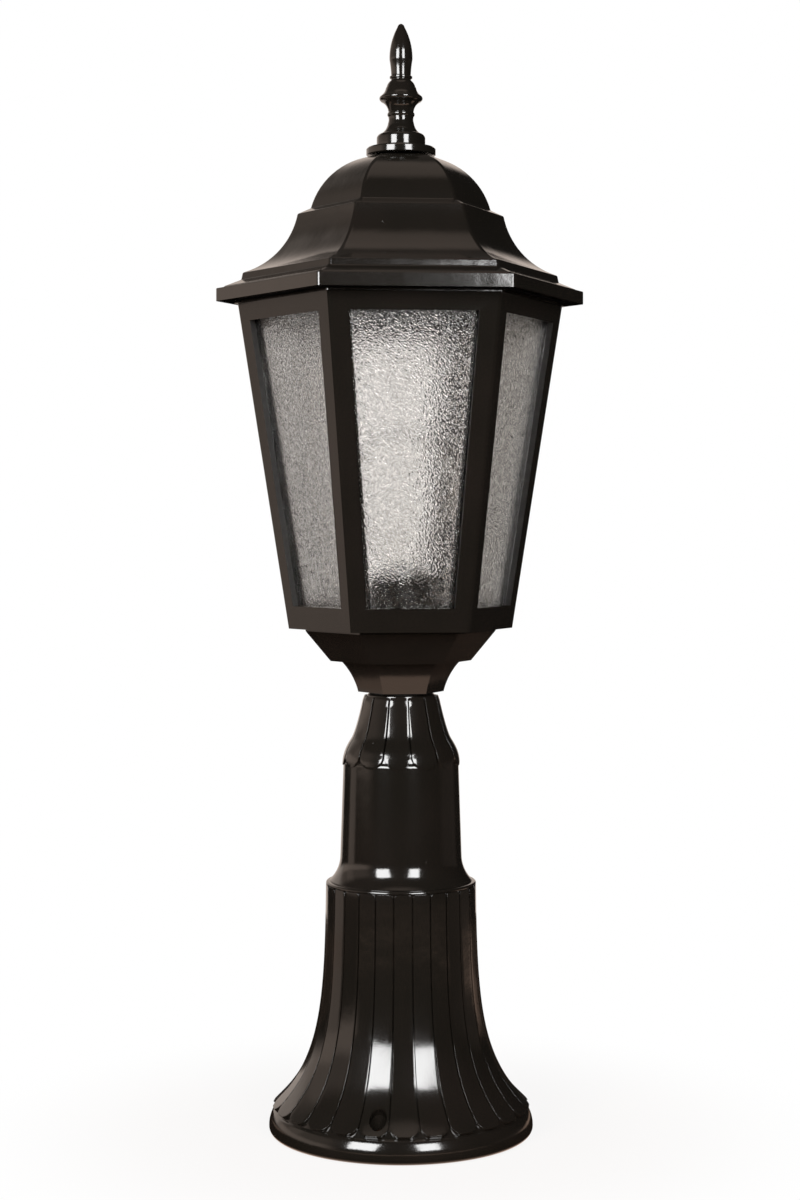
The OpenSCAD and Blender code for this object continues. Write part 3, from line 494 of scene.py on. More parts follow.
def arc(start: Point, end: Point, radius: float, steps: int = 8) -> list[tuple[float, float]]:
    """Points of an arc in the plane of radius and height.

    Args:
        start: First point.
        end: Last point.
        radius: Radius; positive puts the centre on the left of the way from start to end.
        steps: Number of segments.

    Returns:
        The points from start to end.
    """
    (ax, ay), (bx, by) = start, end
    half = math.dist(start, end) / 2
    deep = math.copysign(math.sqrt(max(radius * radius - half * half, 0.0)), radius)
    cx = (ax + bx) / 2 + (ay - by) / (2 * half) * deep
    cy = (ay + by) / 2 + (bx - ax) / (2 * half) * deep
    first, last = math.atan2(ay - cy, ax - cx), math.atan2(by - cy, bx - cx)
    sweep = (last - first) % math.tau if radius > 0 else -((first - last) % math.tau)
    return [(cx + abs(radius) * math.cos(first + sweep * i / steps),
             cy + abs(radius) * math.sin(first + sweep * i / steps)) for i in range(steps + 1)]


def sweep_curve(a: Point, b: Point, c: Point, d: Point, steps: int) -> list[tuple[float, float]]:
    """Points of a cubic curve.

    Args:
        a: Start.
        b: First handle.
        c: Second handle.
        d: End.
        steps: Number of segments.

    Returns:
        The points from a to d.
    """
    points = []
    for i in range(steps + 1):
        t = i / steps
        u = 1 - t
        weights = (u * u * u, 3 * u * u * t, 3 * u * t * t, t * t * t)
        points.append(tuple(sum(k * p[axis] for k, p in zip(weights, (a, b, c, d))) for axis in (0, 1)))
    return points


class Bench:
    """Edit-mode moves that the pieces are modelled with. Sizes are in millimetres."""

    @staticmethod
    def widen(half: float, crown: float, steps: int = 8) -> None:
        """Extrudes the selected line sideways into a strip, a little crowned across.

        Args:
            half: Half of the strip's width; the line lies at one edge.
            crown: How much the middle stands proud of the edges.
            steps: Segments across.
        """
        for step in range(steps):
            a, b = (2.0 * (step + k) / steps - 1.0 for k in (0, 1))
            bpy.ops.mesh.extrude_region_move(TRANSFORM_OT_translate={
                "value": (crown * (a * a - b * b) * MM, 2.0 * half / steps * MM, 0)})

    @staticmethod
    def clear() -> None:
        """Deselects every object."""
        bpy.ops.object.select_all(action="DESELECT")

    @staticmethod
    def edit(piece: bpy.types.Object, mode: str = "VERT") -> None:
        """Opens a piece in edit mode with all of it selected.

        Args:
            piece: Object to edit.
            mode: What is selected, vertices, edges or faces.
        """
        Bench.clear()
        bpy.context.view_layer.objects.active = piece
        piece.select_set(True)
        bpy.ops.object.mode_set(mode="EDIT")
        bpy.ops.mesh.select_mode(type=mode)
        bpy.ops.mesh.select_all(action="SELECT")

    @staticmethod
    def done() -> None:
        """Leaves edit mode."""
        bpy.ops.object.mode_set(mode="OBJECT")

    @staticmethod
    def select(piece: bpy.types.Object, kind: str, test: Test) -> int:
        """Selects the parts of a mesh that pass a test, in edit mode.

        Args:
            piece: Object in edit mode.
            kind: "verts", "edges" or "faces".
            test: Says whether an element is wanted.

        Returns:
            How many were selected.
        """
        bpy.ops.mesh.select_mode(type={"verts": "VERT", "edges": "EDGE", "faces": "FACE"}[kind])
        bpy.ops.mesh.select_all(action="DESELECT")
        shape = bmesh.from_edit_mesh(piece.data)
        count = 0
        for element in getattr(shape, kind):
            if test(element):
                element.select_set(True)
                count += 1
        shape.select_flush_mode()
        bmesh.update_edit_mesh(piece.data)
        return count

    @staticmethod
    def line(name: str, points: Sequence[Point], closed: bool = False, side: float = 0.0) -> bpy.types.Object:
        """Draws a line of (radius, height) points in the plane y = side, and stays in edit mode.

        Args:
            name: Name of the new piece.
            points: Corners of the line.
            closed: Whether the last point joins the first.
            side: Offset of the plane from the axis.

        Returns:
            The new piece, all of it selected.
        """
        Bench.clear()
        bpy.ops.mesh.primitive_plane_add(size=0.001)
        piece = bpy.context.object
        piece.name = piece.data.name = name
        bpy.ops.object.mode_set(mode="EDIT")
        bpy.ops.mesh.select_mode(type="VERT")
        bpy.ops.mesh.select_all(action="SELECT")
        bpy.ops.mesh.merge(type="CENTER")
        last = (0.0, 0.0)
        for index, point in enumerate(points):
            way = ((point[0] - last[0]) * MM, (side if index == 0 else 0.0) * MM, (point[1] - last[1]) * MM)
            if index == 0:
                bpy.ops.transform.translate(value=way)
            else:
                bpy.ops.mesh.extrude_vertices_move(TRANSFORM_OT_translate={"value": way})
            last = point
        if closed:
            ends = [Vector((points[k][0] * MM, side * MM, points[k][1] * MM)) for k in (0, -1)]
            Bench.select(piece, "verts", lambda v: any((v.co - end).length < 1e-7 for end in ends))
            bpy.ops.mesh.edge_face_add()
        bpy.ops.mesh.select_all(action="SELECT")
        return piece

    @staticmethod
    def spin(steps: int, degrees: float = 360.0) -> None:
        """Spins what is selected about the upright axis.

        Args:
            steps: Number of steps.
            degrees: Angle of the whole turn.
        """
        bpy.ops.mesh.spin(steps=steps, angle=math.radians(degrees), center=(0, 0, 0), axis=(0, 0, 1),
                          use_auto_merge=abs(degrees) > 359)
        bpy.ops.mesh.select_all(action="SELECT")
        bpy.ops.mesh.remove_doubles(threshold=1e-7)
        bpy.ops.mesh.normals_make_consistent(inside=False)

    @staticmethod
    def turned(name: str, points: Sequence[Point], steps: int) -> bpy.types.Object:
        """Turns an outline into a ring or, with 6 steps, a hexagonal casting with corners on the X axis.

        Args:
            name: Name of the piece.
            points: Closed outline, (radius, height).
            steps: Steps round the axis.

        Returns:
            The piece, in object mode.
        """
        piece = Bench.line(name, points, closed=True)
        Bench.spin(steps)
        Bench.done()
        return piece

    @staticmethod
    def trim(at: Point, way: Point) -> None:
        """Cuts away what lies beyond a plane.

        Args:
            at: Point of the plane.
            way: Direction that is cut away.
        """
        bpy.ops.mesh.select_all(action="SELECT")
        bpy.ops.mesh.bisect(plane_co=[c * MM for c in at], plane_no=way, clear_outer=True)

    @staticmethod
    def wedge(count: int, groove: float) -> None:
        """Trims a strip along +X to its share of a ring.

        Args:
            count: Number in the ring.
            groove: Width of the groove that is left between two of them.
        """
        lean = math.pi / count
        for side in (-1, 1):
            way = (-math.sin(lean), side * math.cos(lean), 0)
            Bench.trim([-groove / 2 * c for c in way], way)

    @staticmethod
    def trim_corner(centre: Point, radius: float, ways: Iterable[Point]) -> None:
        """Trims a corner round, by a plane square to each direction.

        Args:
            centre: Centre of the rounding.
            radius: Its radius.
            ways: Directions in which material is cut away.
        """
        for way in ways:
            Bench.trim([c + radius * w for c, w in zip(centre, way)], way)

    @staticmethod
    def thicken(piece: bpy.types.Object, wall: float) -> None:
        """Turns an open strip's faces away from the axis, leaves edit mode and gives it a wall inward.

        Args:
            piece: Strip in edit mode.
            wall: Thickness.
        """
        bpy.ops.mesh.select_all(action="SELECT")
        bpy.ops.mesh.normals_make_consistent(inside=False)
        shape = bmesh.from_edit_mesh(piece.data)
        lean = sum(face.normal.dot(face.calc_center_median() * Vector((1, 1, 0))) * face.calc_area()
                   for face in shape.faces)
        if lean < 0:
            bpy.ops.mesh.flip_normals()
        Bench.done()
        Bench.apply(piece, "SOLIDIFY", thickness=wall * MM, offset=-1.0, use_even_offset=True)

    @staticmethod
    def apply(piece: bpy.types.Object, kind: str, **settings: object) -> None:
        """Adds a modifier and applies it.

        Args:
            piece: Object to change.
            kind: Type of modifier.
            settings: Its settings.
        """
        Bench.clear()
        bpy.context.view_layer.objects.active = piece
        piece.select_set(True)
        modifier = piece.modifiers.new("step", kind)
        for name, value in settings.items():
            setattr(modifier, name, value)
        bpy.ops.object.modifier_apply(modifier=modifier.name)

    @staticmethod
    def round_edges(piece: bpy.types.Object, width: float, sharper: float = 30.0, segments: int = 3) -> None:
        """Bevels the sharp edges of a piece.

        Args:
            piece: Object to change.
            width: Width of the bevel.
            sharper: Angle over which an edge is sharp, in degrees.
            segments: Steps across the bevel.
        """
        Bench.apply(piece, "BEVEL", width=width * MM, segments=segments, limit_method="ANGLE",
                    angle_limit=math.radians(sharper), miter_outer="MITER_ARC", harden_normals=False)

    @staticmethod
    def round_hips(piece: bpy.types.Object, width: float) -> None:
        """Rounds the outer corners of a hexagonal piece.

        Args:
            piece: Object to change.
            width: How far the rounding reaches from the corner on each side.
        """
        def hip(edge: bmesh.types.BMEdge) -> bool:
            """Whether an edge stands out and runs in a plane through the axis."""
            a, b = (v.co.xy for v in edge.verts)
            return (len(edge.link_faces) == 2 and edge.calc_face_angle_signed() > math.radians(12)
                    and min(a.length, b.length) > 2 * MM and abs(a.normalized().cross(b.normalized())) < 0.01)
        Bench.edit(piece)
        found = Bench.select(piece, "edges", hip)
        bpy.ops.mesh.bevel(offset=width * MM, segments=5, affect="EDGES", clamp_overlap=True)
        Bench.done()
        LOG.info("%s: %d corner edges rounded", piece.name, found)

    @staticmethod
    def carve(piece: bpy.types.Object, tool: bpy.types.Object, way: str = "DIFFERENCE",
              keep: bool = False) -> None:
        """Cuts one piece with another.

        Args:
            piece: Object to cut.
            tool: Cutting object.
            way: DIFFERENCE, UNION or INTERSECT.
            keep: Whether the tool is left in the scene.
        """
        Bench.apply(piece, "BOOLEAN", object=tool, operation=way, solver="EXACT")
        if not keep:
            bpy.data.objects.remove(tool)

    @staticmethod
    def drill(radius: float, low: float, high: float, at: Point) -> bpy.types.Object:
        """Adds an upright rod to cut with.

        Args:
            radius: Its radius.
            low: Height of its foot.
            high: Height of its top.
            at: Place of its axis.

        Returns:
            The rod, with its place in its mesh.
        """
        Bench.clear()
        bpy.ops.mesh.primitive_cylinder_add(vertices=64, radius=radius * MM, depth=(high - low) * MM,
                                            location=(at[0] * MM, at[1] * MM, (low + high) / 2 * MM))
        piece = bpy.context.object
        piece.name = "cutter"
        bpy.ops.object.transform_apply(location=True)
        return piece

    @staticmethod
    def turn(piece: bpy.types.Object, degrees: float) -> bpy.types.Object:
        """Turns a piece's mesh about the upright axis.

        Args:
            piece: Object to turn.
            degrees: Angle.

        Returns:
            The piece.
        """
        piece.data.transform(Matrix.Rotation(math.radians(degrees), 4, "Z"))
        return piece

    @staticmethod
    def ring(piece: bpy.types.Object, count: int, first: float = 0.0) -> list[bpy.types.Object]:
        """Copies a piece round the axis, each copy with its own mesh.

        Args:
            piece: Object to copy; it becomes the first.
            count: Number in the ring.
            first: Turn of the first, in degrees.

        Returns:
            All of them.
        """
        pieces = [piece]
        for index in range(1, count):
            copy = piece.copy()
            copy.data = piece.data.copy()
            bpy.context.collection.objects.link(copy)
            pieces.append(Bench.turn(copy, first + 360.0 * index / count))
        Bench.turn(piece, first)
        return pieces

    @staticmethod
    def join(name: str, pieces: Sequence[bpy.types.Object]) -> bpy.types.Object:
        """Joins pieces into one.

        Args:
            name: Name of the whole.
            pieces: Objects to join.

        Returns:
            The joined piece.
        """
        Bench.clear()
        for piece in pieces:
            piece.select_set(True)
        bpy.context.view_layer.objects.active = pieces[0]
        bpy.ops.object.join()
        pieces[0].name = pieces[0].data.name = name
        return pieces[0]

    @staticmethod
    def smooth(piece: bpy.types.Object, sharper: float = 30.0) -> None:
        """Shades a piece smooth but for its sharp edges.

        Args:
            piece: Object to shade.
            sharper: Angle over which an edge stays sharp, in degrees.
        """
        Bench.clear()
        piece.select_set(True)
        bpy.context.view_layer.objects.active = piece
        bpy.ops.object.shade_smooth_by_angle(angle=math.radians(sharper))

    @staticmethod
    def copy_of(node: bpy.types.Object, name: str) -> bpy.types.Object:
        """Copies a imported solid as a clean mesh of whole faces.

        Args:
            node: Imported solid.
            name: Name of the new piece.

        Returns:
            The copy.
        """
        data = node.data.copy()
        data.materials.clear()
        piece = bpy.data.objects.new(name, data)
        data.name = name
        bpy.context.collection.objects.link(piece)
        Bench.edit(piece)
        bpy.ops.mesh.customdata_custom_splitnormals_clear()
        bpy.ops.mesh.remove_doubles(threshold=1e-5)
        bpy.ops.mesh.tris_convert_to_quads(face_threshold=math.radians(0.5),
                                           shape_threshold=math.radians(120))
        Bench.done()
        return piece


# ---------------------------------------------------------------- studio


@dataclass(frozen=True)
class SoftLight:
    """Upright soft light that looks at the lantern, its turn in degrees from the front, positive right."""

    turn: float
    wide: float
    power: float
    rise: float = 26.2
    away: float = 2.2
    tall: float = 0.98
    aim: float = 0.25

    def hang(self) -> None:
        """Adds the light."""
        turn, rise = math.radians(self.turn), math.radians(self.rise)
        level = self.away * math.cos(rise)
        spot = Vector((level * math.sin(turn), -level * math.cos(turn), self.away * math.sin(rise)))
        way = (Vector((0.0, 0.0, self.aim)) - spot).to_track_quat("-Z", "Y").to_euler()
        bpy.ops.object.light_add(type="AREA", location=spot, rotation=way)
        lamp = bpy.context.object.data
        lamp.shape = "RECTANGLE"
        lamp.size = self.wide
        lamp.size_y = self.tall
        lamp.energy = self.power


@dataclass
class Studio:
    """Camera, floor, background and two soft lights; glossy and glass rays see painted reflection on the
    floor and in the world instead of the white.

    Bands of direction are radians round from the back, positive to the right, floor fades are metres from the
    axis, and fades of height are the sine of the angle above the horizon.
    """

    distance: float = 1.218
    camera_turn: float = -5.3
    camera_height: float = 0.3305
    camera_tip: float = -1.92
    focal: float = 67.35
    floor_radius: float = 0.7
    floor_colour: tuple[float, float, float] = (0.70, 0.52, 0.43)
    # Painted reflection: the colour and fades from here to floor_left make a glow that only glossy rays see
    # in place of the floor.
    floor_mirrored: tuple[float, float, float] = (0.90, 0.62, 0.47)
    floor_under: Fade = Fade(0.073, 0.070, 1.15)
    floor_front: Fade = Fade(0.165, 0.20, 0.8)
    floor_sides: Fade = Fade(0.11, 0.15)
    floor_far: Fade = Fade(0.45, 0.90, 0.08)
    floor_dark: float = 0.02
    floor_right: Band = Band(0.80, 0.92, 1.25, 1.42, 0.55)
    floor_left: Band = Band(-1.30, -1.20, -1.0, -0.9, 0.35)
    floor_open: Fade = Fade(0.067, 0.071)
    floor_fade: Fade = Fade(0.08, 0.26, 0.10)
    # Painted reflection and painted shade: these colours, but white, warm_white and ambient, and the bands
    # below them down to glass_back make what glossy and glass rays see in the world, where the camera sees
    # white.
    backdrop: tuple[float, float, float] = (0.80, 0.68, 0.60)
    left_wall: tuple[float, float, float] = (0.66, 0.53, 0.45)
    right_wall: tuple[float, float, float] = (0.50, 0.43, 0.36)
    dark: tuple[float, float, float] = (0.010, 0.009, 0.008)
    white: tuple[float, float, float] = (1.0, 1.0, 1.0)
    warm_white: tuple[float, float, float] = (1.0, 0.985, 0.965)
    ambient: tuple[float, float, float] = (0.22, 0.21, 0.20)
    horizon: Fade = Fade(-0.06, 0.06)
    back_high: Band = Band(-0.85, -0.60, 0.26, 0.42)
    back_low: Band = Band(-0.50, -0.35, 0.26, 0.42)
    left_high: Band = Band(-2.15, -1.75, -0.85, -0.60)
    left_dims: Fade = Fade(0.14, 0.24, 0.6)
    left_all: Band = Band(-1.36, -1.26, -1.02, -0.94, 0.6)
    right_low: Band = Band(0.9, 1.1, 1.6, 1.9, 0.08)
    right_heights: Band = Band(-0.35, -0.2, 0.0, 0.12)
    ceiling: Fade = Fade(0.42, 0.62, 0.93)
    zenith: Fade = Fade(0.90, 0.985, 0.55)
    glass_right: Fade = Fade(0.10, 0.38)
    glass_back: Fade = Fade(-0.1, 0.35)
    lights: tuple[SoftLight, ...] = (SoftLight(19.5, 0.72, 26.5), SoftLight(-39.5, 0.92, 34.0))

    def camera(self) -> None:
        """Sets the camera as the photograph was taken."""
        turn = math.radians(self.camera_turn)
        bpy.ops.object.camera_add(
            location=(self.distance * math.sin(turn), -self.distance * math.cos(turn), self.camera_height),
            rotation=(math.radians(90 + self.camera_tip), 0.0, turn))
        camera = bpy.context.object
        camera.data.lens = self.focal
        camera.data.sensor_width = 36.0
        camera.data.sensor_fit = "AUTO"
        camera.data.shift_x = -1.0 / 1200.0
        bpy.context.scene.camera = camera

    def floor(self) -> None:
        """Lays a pale floor that fades into the white background and keeps a faint shadow; glossy rays see
        painted reflection on it instead, a glow brightest under the foot, in front and at the sides.
        """
        bpy.ops.mesh.primitive_circle_add(vertices=96, radius=self.floor_radius, fill_type="NGON",
                                          location=(0.0, 0.0, -0.0001))
        floor = bpy.context.object
        floor.name = "floor"
        bpy.ops.object.transform_apply(location=True)
        material = bpy.data.materials.new("floor")
        material.use_nodes = True
        recipe = Recipe(material.node_tree)
        camera, glossy, transmitted = recipe.rays()
        away = recipe.vector("LENGTH", recipe.place(), None, "Value")
        across, deep, _ = recipe.axes(recipe.place())
        turn = across.turn_from(deep)
        # Painted reflection: the glow that glossy rays see on the floor, brightest under the foot, in front
        # and at the sides.
        sides = (self.floor_right.on(turn) + self.floor_left.on(turn)) * self.floor_sides.on(away)
        reflected_glow = (self.floor_under.on(away) + self.floor_front.on(deep * -1.0) + sides + self.floor_far.on(away)
               + self.floor_dark)
        diffuse = recipe.node("ShaderNodeBsdfDiffuse", {}, {"Color": (*self.floor_colour, 1.0)})
        painted_reflection = recipe.node("ShaderNodeEmission", {},
                               {"Color": (*self.floor_mirrored, 1.0), "Strength": reflected_glow})
        # Glossy rays see the painted glow, other rays the diffuse floor.
        lower = recipe.node("ShaderNodeMixShader", {}, {0: glossy, 1: diffuse, 2: painted_reflection})
        seen = camera.most(transmitted) * self.floor_open.on(away) * (0.90 + self.floor_fade.on(away))
        white = recipe.node("ShaderNodeEmission", {}, {"Color": (*self.white, 1.0), "Strength": 1.0})
        mixed = recipe.node("ShaderNodeMixShader", {}, {0: seen, 1: lower, 2: white})
        recipe.raw("ShaderNodeOutputMaterial", {}, {"Surface": mixed})
        floor.data.materials.append(material)

    def world(self) -> None:
        """White to the camera; to glossy and glass rays painted reflection: warm behind, at the left and
        overhead, dark in front and at the right.
        """
        world = bpy.data.worlds.new("studio")
        bpy.context.scene.world = world
        world.use_nodes = True
        recipe = Recipe(world.node_tree)
        across, deep, up = recipe.axes(recipe.node("ShaderNodeTexCoord", {}, {}, "Generated"))
        turn = across.turn_from(deep)
        above = self.horizon.on(up)
        under_ceiling = 1.0 - self.ceiling.on(up)
        behind = self.back_high.on(turn) * above + self.back_low.on(turn) * (1.0 - above)
        left = (self.left_high.on(turn) * above * (1.0 - self.left_dims.on(up))).most(self.left_all.on(turn))
        right = self.right_low.on(turn) * self.right_heights.on(up)
        # Painted reflection: glossy rays see these bands in place of the white.
        painted_reflection = recipe.mix((behind * under_ceiling).clamp(), self.dark, self.backdrop)
        for share in (left * under_ceiling, right, self.zenith.on(up)):
            painted_reflection = recipe.mix(share.clamp(), painted_reflection, self.left_wall)
        # Painted shade: rays through the glass see a darker band at the right and, towards the front, the
        # painted reflection.
        through = recipe.mix(self.glass_right.on(turn), self.warm_white, self.right_wall)
        through = recipe.mix(self.glass_back.on(deep), painted_reflection, through)
        camera, glossy, transmitted = recipe.rays()
        colour = recipe.mix(glossy, self.ambient, painted_reflection)
        colour = recipe.mix(transmitted, colour, through)
        colour = recipe.mix(camera, colour, self.white)
        background = recipe.node("ShaderNodeBackground", {}, {"Color": colour, "Strength": 1.0})
        recipe.raw("ShaderNodeOutputWorld", {}, {"Surface": background})

    def build(self) -> None:
        """Sets the whole studio."""
        self.camera()
        self.floor()
        self.world()
        for light in self.lights:
            light.hang()
        bpy.context.scene.view_settings.view_transform = "Standard"


# ---------------------------------------------------------------- the castings


@dataclass
class Bell:
    """Fluted bell: smooth casting with a rolled rim, raised petals and two pads for fixing screws."""

    foot: float = 72.0
    height: float = 137.0
    top: float = 40.4
    flare: float = 29.2
    fade: float = 26.0
    petals: int = 26
    rise: float = 0.9
    groove: float = 0.9
    wall: float = 3.5
    bore: float = 22.5
    petal_low: float = 13.6
    lip: float = 1.9
    petal_high: float = 135.2
    petal_end: float = 70.0
    end_corner: float = 5.6
    top_corner: float = 1.6
    petal_wall: float = 2.6
    petal_crown: float = 0.15
    petal_edge: float = 0.8
    rim: tuple[float, float] = (69.4, 12.3)
    rim_round: float = 15.4
    ledge_round: float = 1.1
    skirt: float = 63.5
    pad: float = 7.3
    pad_rise: float = 1.7
    pad_sink: float = 3.0
    pad_round: float = 1.1
    hole: float = 4.6
    hole_ring: float = 63.0
    turn: float = -107.6
    hole_turn: float = -106.2

    def face(self, z: float, depth: float = 0.0) -> float:
        """Radius of the petals' faces at a height, less a depth square to them.

        Args:
            z: Height.
            depth: How far inside.

        Returns:
            The radius.
        """
        swell = self.flare * math.exp(-(z - 15.0) / self.fade)
        return self.top + swell - depth * math.sqrt(1 + (swell / self.fade) ** 2)

    def heights(self, low: float, high: float, count: int) -> list[float]:
        """Heights that crowd towards the foot, where the bell flares."""
        return [low + (high - low) * (i / count) ** 1.6 for i in range(count + 1)]

    def body(self) -> bpy.types.Object:
        """Casting without its petals."""
        inside = self.rise + self.wall
        low, ledge, corner = self.height - self.wall, self.ledge_round, self.top + 0.45
        line = [(69.2, 0.0), (70.4, 0.3), *arc((71.2, 1.0), (self.foot, 3.5), 4.0, 4),
                *arc((self.foot, 3.9), self.rim, self.rim_round, 9)[1:], (68.8, 12.6), (68.2, 13.2),
                *[(self.face(z, self.rise), z) for z in self.heights(16.0, self.petal_high + 0.1, 26)],
                (self.top + 0.15, self.petal_high + 0.2),
                *arc((corner, self.height - ledge), (corner - ledge, self.height), ledge, 5),
                (self.bore, self.height), (self.bore, low),
                (self.top - inside - 1, low), (self.top - inside, low - 1),
                *[(self.face(z, inside), z) for z in reversed(self.heights(38.0, 128.0, 12))],
                (self.skirt, 4.6), (self.skirt, 0.0)]
        return Bench.turned("bell_body", line, 156)

    def petal(self) -> bpy.types.Object:
        """One petal along +X: flat across, with a rounded end at the foot."""
        wide = 10.0
        line = [(self.face(z) - 0.15, z) for z in self.heights(self.petal_low, self.petal_high, 34)]
        piece = Bench.line("petal", line, side=-wide)
        Bench.widen(wide, self.petal_crown)
        Bench.wedge(self.petals, self.groove)
        share, corner, top = math.sin(math.pi / self.petals), self.end_corner, self.top_corner
        half = self.petal_end * share - self.groove / 2
        half_top = self.face(self.petal_high) * share - self.groove / 2
        foot_turns, top_turns = (list(map(math.radians, turns)) for turns in (range(0, 91, 15), (25, 65)))
        for side in (-1, 1):
            Bench.trim_corner((self.petal_end - corner, side * (half - corner), 0), corner,
                              [(math.cos(a), side * math.sin(a), 0) for a in foot_turns])
            Bench.trim_corner((0, side * (half_top - top), self.petal_high - top), top,
                              [(0, side * math.sin(a), math.cos(a)) for a in top_turns])
        Bench.thicken(piece, self.petal_wall)
        Bench.edit(piece)
        Bench.select(piece, "edges", lambda e: (
            len(e.link_faces) == 2 and e.calc_face_angle() > math.radians(45)
            and all(v.co.z < 22 * MM and v.co.xy.length > self.face(v.co.z / MM, 0.7) * MM for v in e.verts)))
        bpy.ops.mesh.bevel(offset=self.lip * MM, segments=6, affect="EDGES", clamp_overlap=True)
        Bench.done()
        Bench.round_edges(piece, self.petal_edge, 45.0, 4)
        return piece

    def pads(self) -> list[bpy.types.Object]:
        """Raised pads round the fixing holes, laid on the flare."""
        heights = self.heights(9.5, 40.0, 14)
        line = [(self.face(z, -self.pad_rise), z) for z in heights]
        line += [(self.face(z, self.pad_sink), z) for z in reversed(heights)]
        pad = Bench.line("pad", line, closed=True)
        Bench.spin(16, 30.0)
        Bench.done()
        Bench.turn(pad, -15.0)
        Bench.edit(pad)
        Bench.select(pad, "edges", lambda e: e.is_boundary)
        bpy.ops.mesh.fill()
        bpy.ops.mesh.select_all(action="SELECT")
        bpy.ops.mesh.normals_make_consistent(inside=False)
        Bench.done()
        Bench.carve(pad, Bench.drill(self.pad, 0.0, 60.0, (self.hole_ring, 0.0)), "INTERSECT")
        Bench.carve(pad, Bench.drill(self.hole, -5.0, 60.0, (self.hole_ring, 0.0)))
        Bench.round_edges(pad, self.pad_round, 30.0, 4)
        return Bench.ring(pad, 2, self.hole_turn)

    def build(self) -> bpy.types.Object:
        """Models the bell.

        Returns:
            The whole casting.
        """
        body = self.body()
        petals = Bench.ring(self.petal(), self.petals, self.turn)
        for side in (0.0, 180.0):
            angle = math.radians(self.hole_turn + side)
            spot = (self.hole_ring * math.cos(angle), self.hole_ring * math.sin(angle))
            cutter = Bench.drill(self.hole, -5.0, 60.0, spot)
            for piece in (body, petals[0 if side == 0.0 else self.petals // 2]):
                Bench.carve(piece, cutter, keep=True)
            bpy.data.objects.remove(cutter)
        bell = Bench.join("bell_casting", [body, *petals, *self.pads()])
        Bench.smooth(bell, 32.0)
        return bell


@dataclass
class Column:
    """Column: coved foot, plain shaft, rounded shoulder and a petalled neck."""

    foot: float = 137.02
    foot_r: float = 38.6
    cove_top: float = 151.0
    shaft: float = 33.0
    shoulder: float = 31.3
    shoulder_z: float = 199.5
    neck: float = 18.5
    top: float = 239.0
    petals: int = 13
    groove: float = 1.1
    wall: float = 3.5
    rise: float = 0.9
    bore: float = 22.5
    top_bore: float = 5.15
    lower_wall: float = 29.5
    cove: float = 19.2
    petal_wall: float = 2.6
    petal_crown: float = 0.8
    petal_edge: float = 0.8
    sunk: float = 1.15
    turn: float = -99.0

    def neck_line(self, depth: float, steps: int = 14) -> list[tuple[float, float]]:
        """Outline of the neck's petals.

        Args:
            depth: How far inside their faces.
            steps: Segments of each half.

        Returns:
            Points from the shoulder up.
        """
        r, z = self.shoulder - depth, self.shoulder_z
        bend = (r - 4.9, z + 15)
        low = sweep_curve((r, z + 0.8), (r - 0.2, z + 7.5), (r - 2.6, z + 11.4), bend, steps)
        end = self.neck + 1.7 - depth
        high = sweep_curve(bend, (bend[0] - 1.9, bend[1] + 2.9), (end + 1.3, self.top - 10),
                           (end, self.top - 3.5), steps)
        return low + high[1:]

    def body(self) -> bpy.types.Object:
        """Casting without its petals; its shoulder eases in between their ends."""
        inside = self.rise + self.wall
        under, low = self.top - self.wall, self.foot + 4
        hollow = [p for p in self.neck_line(inside, 6) if self.shoulder_z + 6 < p[1] < under - 2]
        ease = [(self.shoulder - self.sunk * t * t * (3 - 2 * t), self.shoulder_z + 1.6 + 3.6 * t)
                for t in (step / 8 for step in range(9))]
        neck = [p for p in self.neck_line(self.sunk) if p[1] > ease[-1][1] + 0.8]
        line = [(self.foot_r, self.foot),
                *arc((self.foot_r, self.foot + 0.5), (self.shaft, self.cove_top), -self.cove, 12),
                *ease, *neck,
                (self.neck, self.top - 0.8), (self.neck - 0.8, self.top), (self.top_bore, self.top),
                (self.top_bore, under), (self.neck + 1 - inside, under), *reversed(hollow),
                (self.shoulder - self.wall, self.shoulder_z - 3), (self.lower_wall, low), (self.bore, low),
                (self.bore, self.foot)]
        return Bench.turned("column_body", line, 130)

    def petal(self) -> bpy.types.Object:
        """One neck petal along +X: flat across, with a round end at the shoulder."""
        wide = 9.0
        line = [(r - 0.2, z) for r, z in self.neck_line(0.0)]
        line.append((self.neck + 0.6, self.top - 1.0))
        piece = Bench.line("neck_petal", line, side=-wide)
        Bench.widen(wide, self.petal_crown)
        Bench.wedge(self.petals, self.groove)
        half = self.shoulder * math.sin(math.pi / self.petals) - self.groove / 2
        corner = half - 0.2
        for side in (-1, 1):
            turns = [step * math.pi / 16 for step in range(8)]
            Bench.trim_corner((0, side * (half - corner), self.shoulder_z + 0.8 + corner), corner,
                              [(0, side * math.sin(a), -math.cos(a)) for a in turns])
        Bench.thicken(piece, self.petal_wall)
        Bench.round_edges(piece, self.petal_edge, 45.0, 3)
        return piece

    def build(self) -> bpy.types.Object:
        """Models the column.

        Returns:
            The whole casting.
        """
        body, petals = self.body(), Bench.ring(self.petal(), self.petals, self.turn)
        column = Bench.join("column_casting", [body, *petals])
        Bench.smooth(column, 32.0)
        return column


